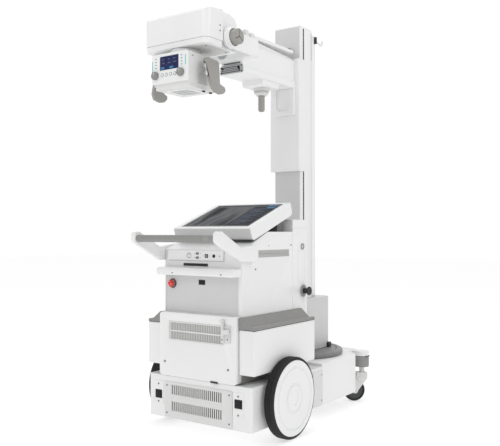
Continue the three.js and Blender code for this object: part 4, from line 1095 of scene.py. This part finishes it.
def build_collimator():
    body = Extent("collimator_body")
    panel = Extent("control_panel")
    face = panel.y0
    x0, x1, z0, z1 = -53.0, 48.0, 1562.0, 1618.0
    seat = slab(rounded(x0 - 1, x1 + 1, z0 - 1, z1 + 1, 2), "y", face - 5, face + 2.0)
    refine("collimator_body", "panel", 3.0)
    refine("control_panel", "housing", 2.4, [seat], 3)
    piece("collimator_display", slab(rounded(x0, x1, z0, z1, 1.5), "y", face + 0.6, face + 2.4), "navy",
        "collimator", 0.4, 2)
    icons = solid()
    for i in range(3):
        for k in range(2):
            u = x0 + 12 + i * 31
            v = z0 + 26 + k * 15
            add_box(icons, u, u + 14 - 4 * k, face + 0.2, face + 0.7, v, v + 4)
    piece("display_marks", icons, "row", "collimator")
    piece("display_keys", solid((add_box, x0 + 5, x0 + 24, face + 0.1, face + 0.7, z0 + 3, z0 + 12),
        (add_box, x0 + 52, x0 + 74, face + 0.1, face + 0.7, z0 + 3, z0 + 12)), "blue", "collimator")
    for side, x, low, high in (("left", -96.0, 1557.0, 1604.0), ("right", 85.0, 1570.0, 1612.0)):
        piece(f"teal_strip_{side}", slab(rounded(x, x + 3.4, low, high, 1.5, 3), "y", face - 0.6,
            face + 0.5), "teal", "collimator", 0.3, 2)
    legends = solid()
    for column in (-75.0, 66.0):
        for i in range(4):
            z = 1572 + i * 12.5
            add_prism(legends, rounded(column - 4, column + 4, z, z + 4.5, 1.8, 3), "y", face - 0.35,
                face + 0.3)
    piece("panel_legend_dots", legends, "icon", "collimator")

    for i in range(1, 5):
        cap = Extent(f"panel_button_{i}")
        r = cap.half_x
        depth = cap.y1 - cap.y0
        dome = [(0, 0), (r, 0), (r, -depth + 1.2), (r - 1, -depth + 0.3), (0, -depth)]
        piece(f"panel_key_{i}", turned(dome, "y", (cap.cx, cap.y1, cap.cz), 36), "housing",
            f"panel_button_{i}", stands_for=[f"panel_button_{i}"], angle=40)
        ring = [(r + 0.8, 0.4), (r + 0.8, -0.9), (r + 2.4, -0.6), (r + 2.6, 0.4), (r + 0.8, 0.4)]
        piece(f"key_ring_{i}", turned(ring, "y", (cap.cx, face, cap.cz), 36), "icon", "collimator",
            angle=60)
    for side in ("left", "right"):
        knob = Extent(f"shutter_knob_{side}")
        r = knob.half_x
        top = slab(knurled(knob.cx, knob.cz, r, 0.9, 20), "y", knob.y0 + 2.4, knob.y1)
        add_lathe(top, [(0, 0), (r - 4.5, 0), (r - 2.2, 2.4), (r - 2.2, 3.0), (0, 3.0)], "y",
            (knob.cx, knob.y0, knob.cz), 48)
        piece(f"shutter_knob_{side}_grip", top, "grey", f"shutter_knob_{side}", 0.3, 2,
            stands_for=[f"shutter_knob_{side}"])
        tick = cuboid(knob.cx - 0.8, knob.cx + 0.8, knob.y0 - 0.1, knob.y0 + 1.0, knob.cz + 2,
            knob.cz + r - 5)
        piece(f"shutter_knob_{side}_tick", tick, "housing", f"shutter_knob_{side}")

    foot = body.z0
    cx, cy = body.cx, body.cy
    surround = slab(rounded(cx - 62, cx + 62, cy - 62, cy + 62, 8), "z", foot - 3, foot + 0.5)
    hole = slab(rounded(cx - 50, cx + 50, cy - 50, cy + 50, 4), "z", foot - 9, foot - 0.8)
    piece("light_window_frame", surround, "housing", "collimator", 1.0, 2, [hole])
    piece("light_window", slab(rounded(cx - 49.5, cx + 49.5, cy - 49.5, cy + 49.5, 4), "z", foot - 1.6,
        foot - 0.6), "window", "collimator", 0.3, 2)
    cross = solid((add_box, cx - 49, cx + 49, cy - 0.5, cy + 0.5, foot - 1.9, foot - 1.5),
        (add_box, cx - 0.5, cx + 0.5, cy - 49, cy + 49, foot - 1.9, foot - 1.5))
    piece("window_cross_hairs", cross, "black", "collimator")
    feet = solid(*[(add_lathe, [(0, foot + 1), (7, foot + 1), (7, foot - 4), (5.5, foot - 6),
        (0, foot - 6)], "z", (cx + 78, cy + y, 0), 24) for y in (24, 70)])
    piece("collimator_feet", feet, "black", "collimator", angle=40)
    for side, sign in SIDES:
        wall = sign * body.x1
        arch = arc(cy - 10, 1522, 30, 0, 180, 14) + [(cy - 40, 1500), (cy + 20, 1500)]
        inset = slab(arch, "x", *between(sign, body.x1 - 0.5, body.x1 + 2.0))
        piece(f"side_arch_{side}", inset, "trim", "collimator", 0.6, 2)
        places = [(wall, body.y0 + 22, 1612), (wall, body.y1 - 18, 1612), (wall, body.y1 - 18, 1512)]
        screws(f"collimator_side_screws_{side}", places, FACING[sign], "collimator", 2.6)

    for side, sign in SIDES:
        refine(f"grab_handle_{side}", "grip", 3.2, segments=3)
        collar = [(9, 0), (17, 0), (17, 3), (14, 6), (9, 6), (9, 0)]
        centre = (sign * (body.x1 + 0.2), -310, 1586)
        piece(f"grab_socket_{side}", turned([(r, sign * h) for r, h in collar], "x", centre, 40), "trim",
            "collimator", angle=40)
    lever = Extent("release_lever")
    refine("release_lever", "steel", 1.6, segments=3)
    notches = solid(*[(add_box, lever.x0 - 0.3, lever.x1 + 0.3, lever.y0 - 0.5, lever.y0 + 0.4, z, z + 1.4)
        for z in (lever.cz - 8, lever.cz - 3, lever.cz + 2, lever.cz + 7)])
    piece("lever_ridges", notches, "dark", "release_lever")


# ---------------------------------------------------------------- stage


def build_stage():
    scene = bpy.context.scene
    world = bpy.data.worlds.new("studio")
    scene.world = world
    world.use_nodes = True
    tree = world.node_tree
    background = tree.nodes["Background"]
    direction = tree.nodes.new("ShaderNodeTexCoord")
    split = tree.nodes.new("ShaderNodeVectorMath")
    split.operation = "DOT_PRODUCT"
    bright_side = Vector((-0.57, 0.81, 0.10)).normalized()
    split.inputs[1].default_value = bright_side
    tree.links.new(direction.outputs["Generated"], split.inputs[0])
    level = tree.nodes.new("ShaderNodeMapRange")
    level.interpolation_type = "SMOOTHSTEP"
    for key, value in (("From Min", 0.0), ("From Max", 0.82), ("To Min", 0.62), ("To Max", 1.02)):
        level.inputs[key].default_value = value
    tree.links.new(split.outputs["Value"], level.inputs["Value"])
    tree.links.new(level.outputs["Result"], background.inputs["Strength"])
    background.inputs["Color"].default_value = (1.0, 1.0, 1.0, 1.0)
    scene.view_settings.view_transform = "Standard"

    bm = bmesh.new()
    add_prism(bm, [(-20000, -20000), (20000, -20000), (20000, 20000), (-20000, 20000)], "z", -20, -0.2)
    floor = bpy.data.objects.new("floor", to_mesh(bm, "floor"))
    scene.collection.objects.link(floor)
    paper = finish_material("pale_floor", (0.55, 0.55, 0.55), 0.7, 60.0, 0.02, vary=0.005, specular=0.0)
    glow = paper.node_tree.nodes["Principled BSDF"].inputs
    glow["Emission Color"].default_value = (1.0, 1.0, 1.0, 1.0)
    glow["Emission Strength"].default_value = 0.58
    floor.data.materials.append(paper)

    low, high = CAD_BOX
    centre = (low + high) / 2

    def area(name, azimuth, elevation, distance, size, power):
        light = bpy.data.lights.new(name, "AREA")
        light.shape, light.size, light.energy = "DISK", size, power
        lamp = bpy.data.objects.new(name, light)
        scene.collection.objects.link(lamp)
        a, e = math.radians(azimuth), math.radians(elevation)
        back = Vector((math.sin(a) * math.cos(e), -math.cos(a) * math.cos(e), math.sin(e)))
        lamp.location = centre + back * distance
        lamp.rotation_mode = "QUATERNION"
        lamp.rotation_quaternion = (-back).to_track_quat("-Z", "Y")

    area("key", 85, 34, 4.2, 2.4, 26)
    area("fill", -5, 30, 4.5, 3.0, 30)
    area("top", 0, 88, 3.6, 2.4, 26)

    camera = bpy.data.objects.new("camera", bpy.data.cameras.new("camera"))
    scene.collection.objects.link(camera)
    camera.location = (1.943, -2.8035, 0.8893)
    camera.rotation_euler = (math.radians(90.74), 0.0, math.radians(35.22))
    camera.data.lens, camera.data.sensor_width, camera.data.sensor_fit = 50.73, 36.0, "HORIZONTAL"
    camera.data.clip_start, camera.data.clip_end = 0.05, 100.0
    scene.camera = camera


build_base()
build_drive_wheels()
build_casters()
build_cabinet()
build_pods()
build_service_panel()
build_connectors()
build_handle()
build_monitor()
build_column()
build_carriage()
build_arm()
build_tube_head()
build_collimator()
build_stage()
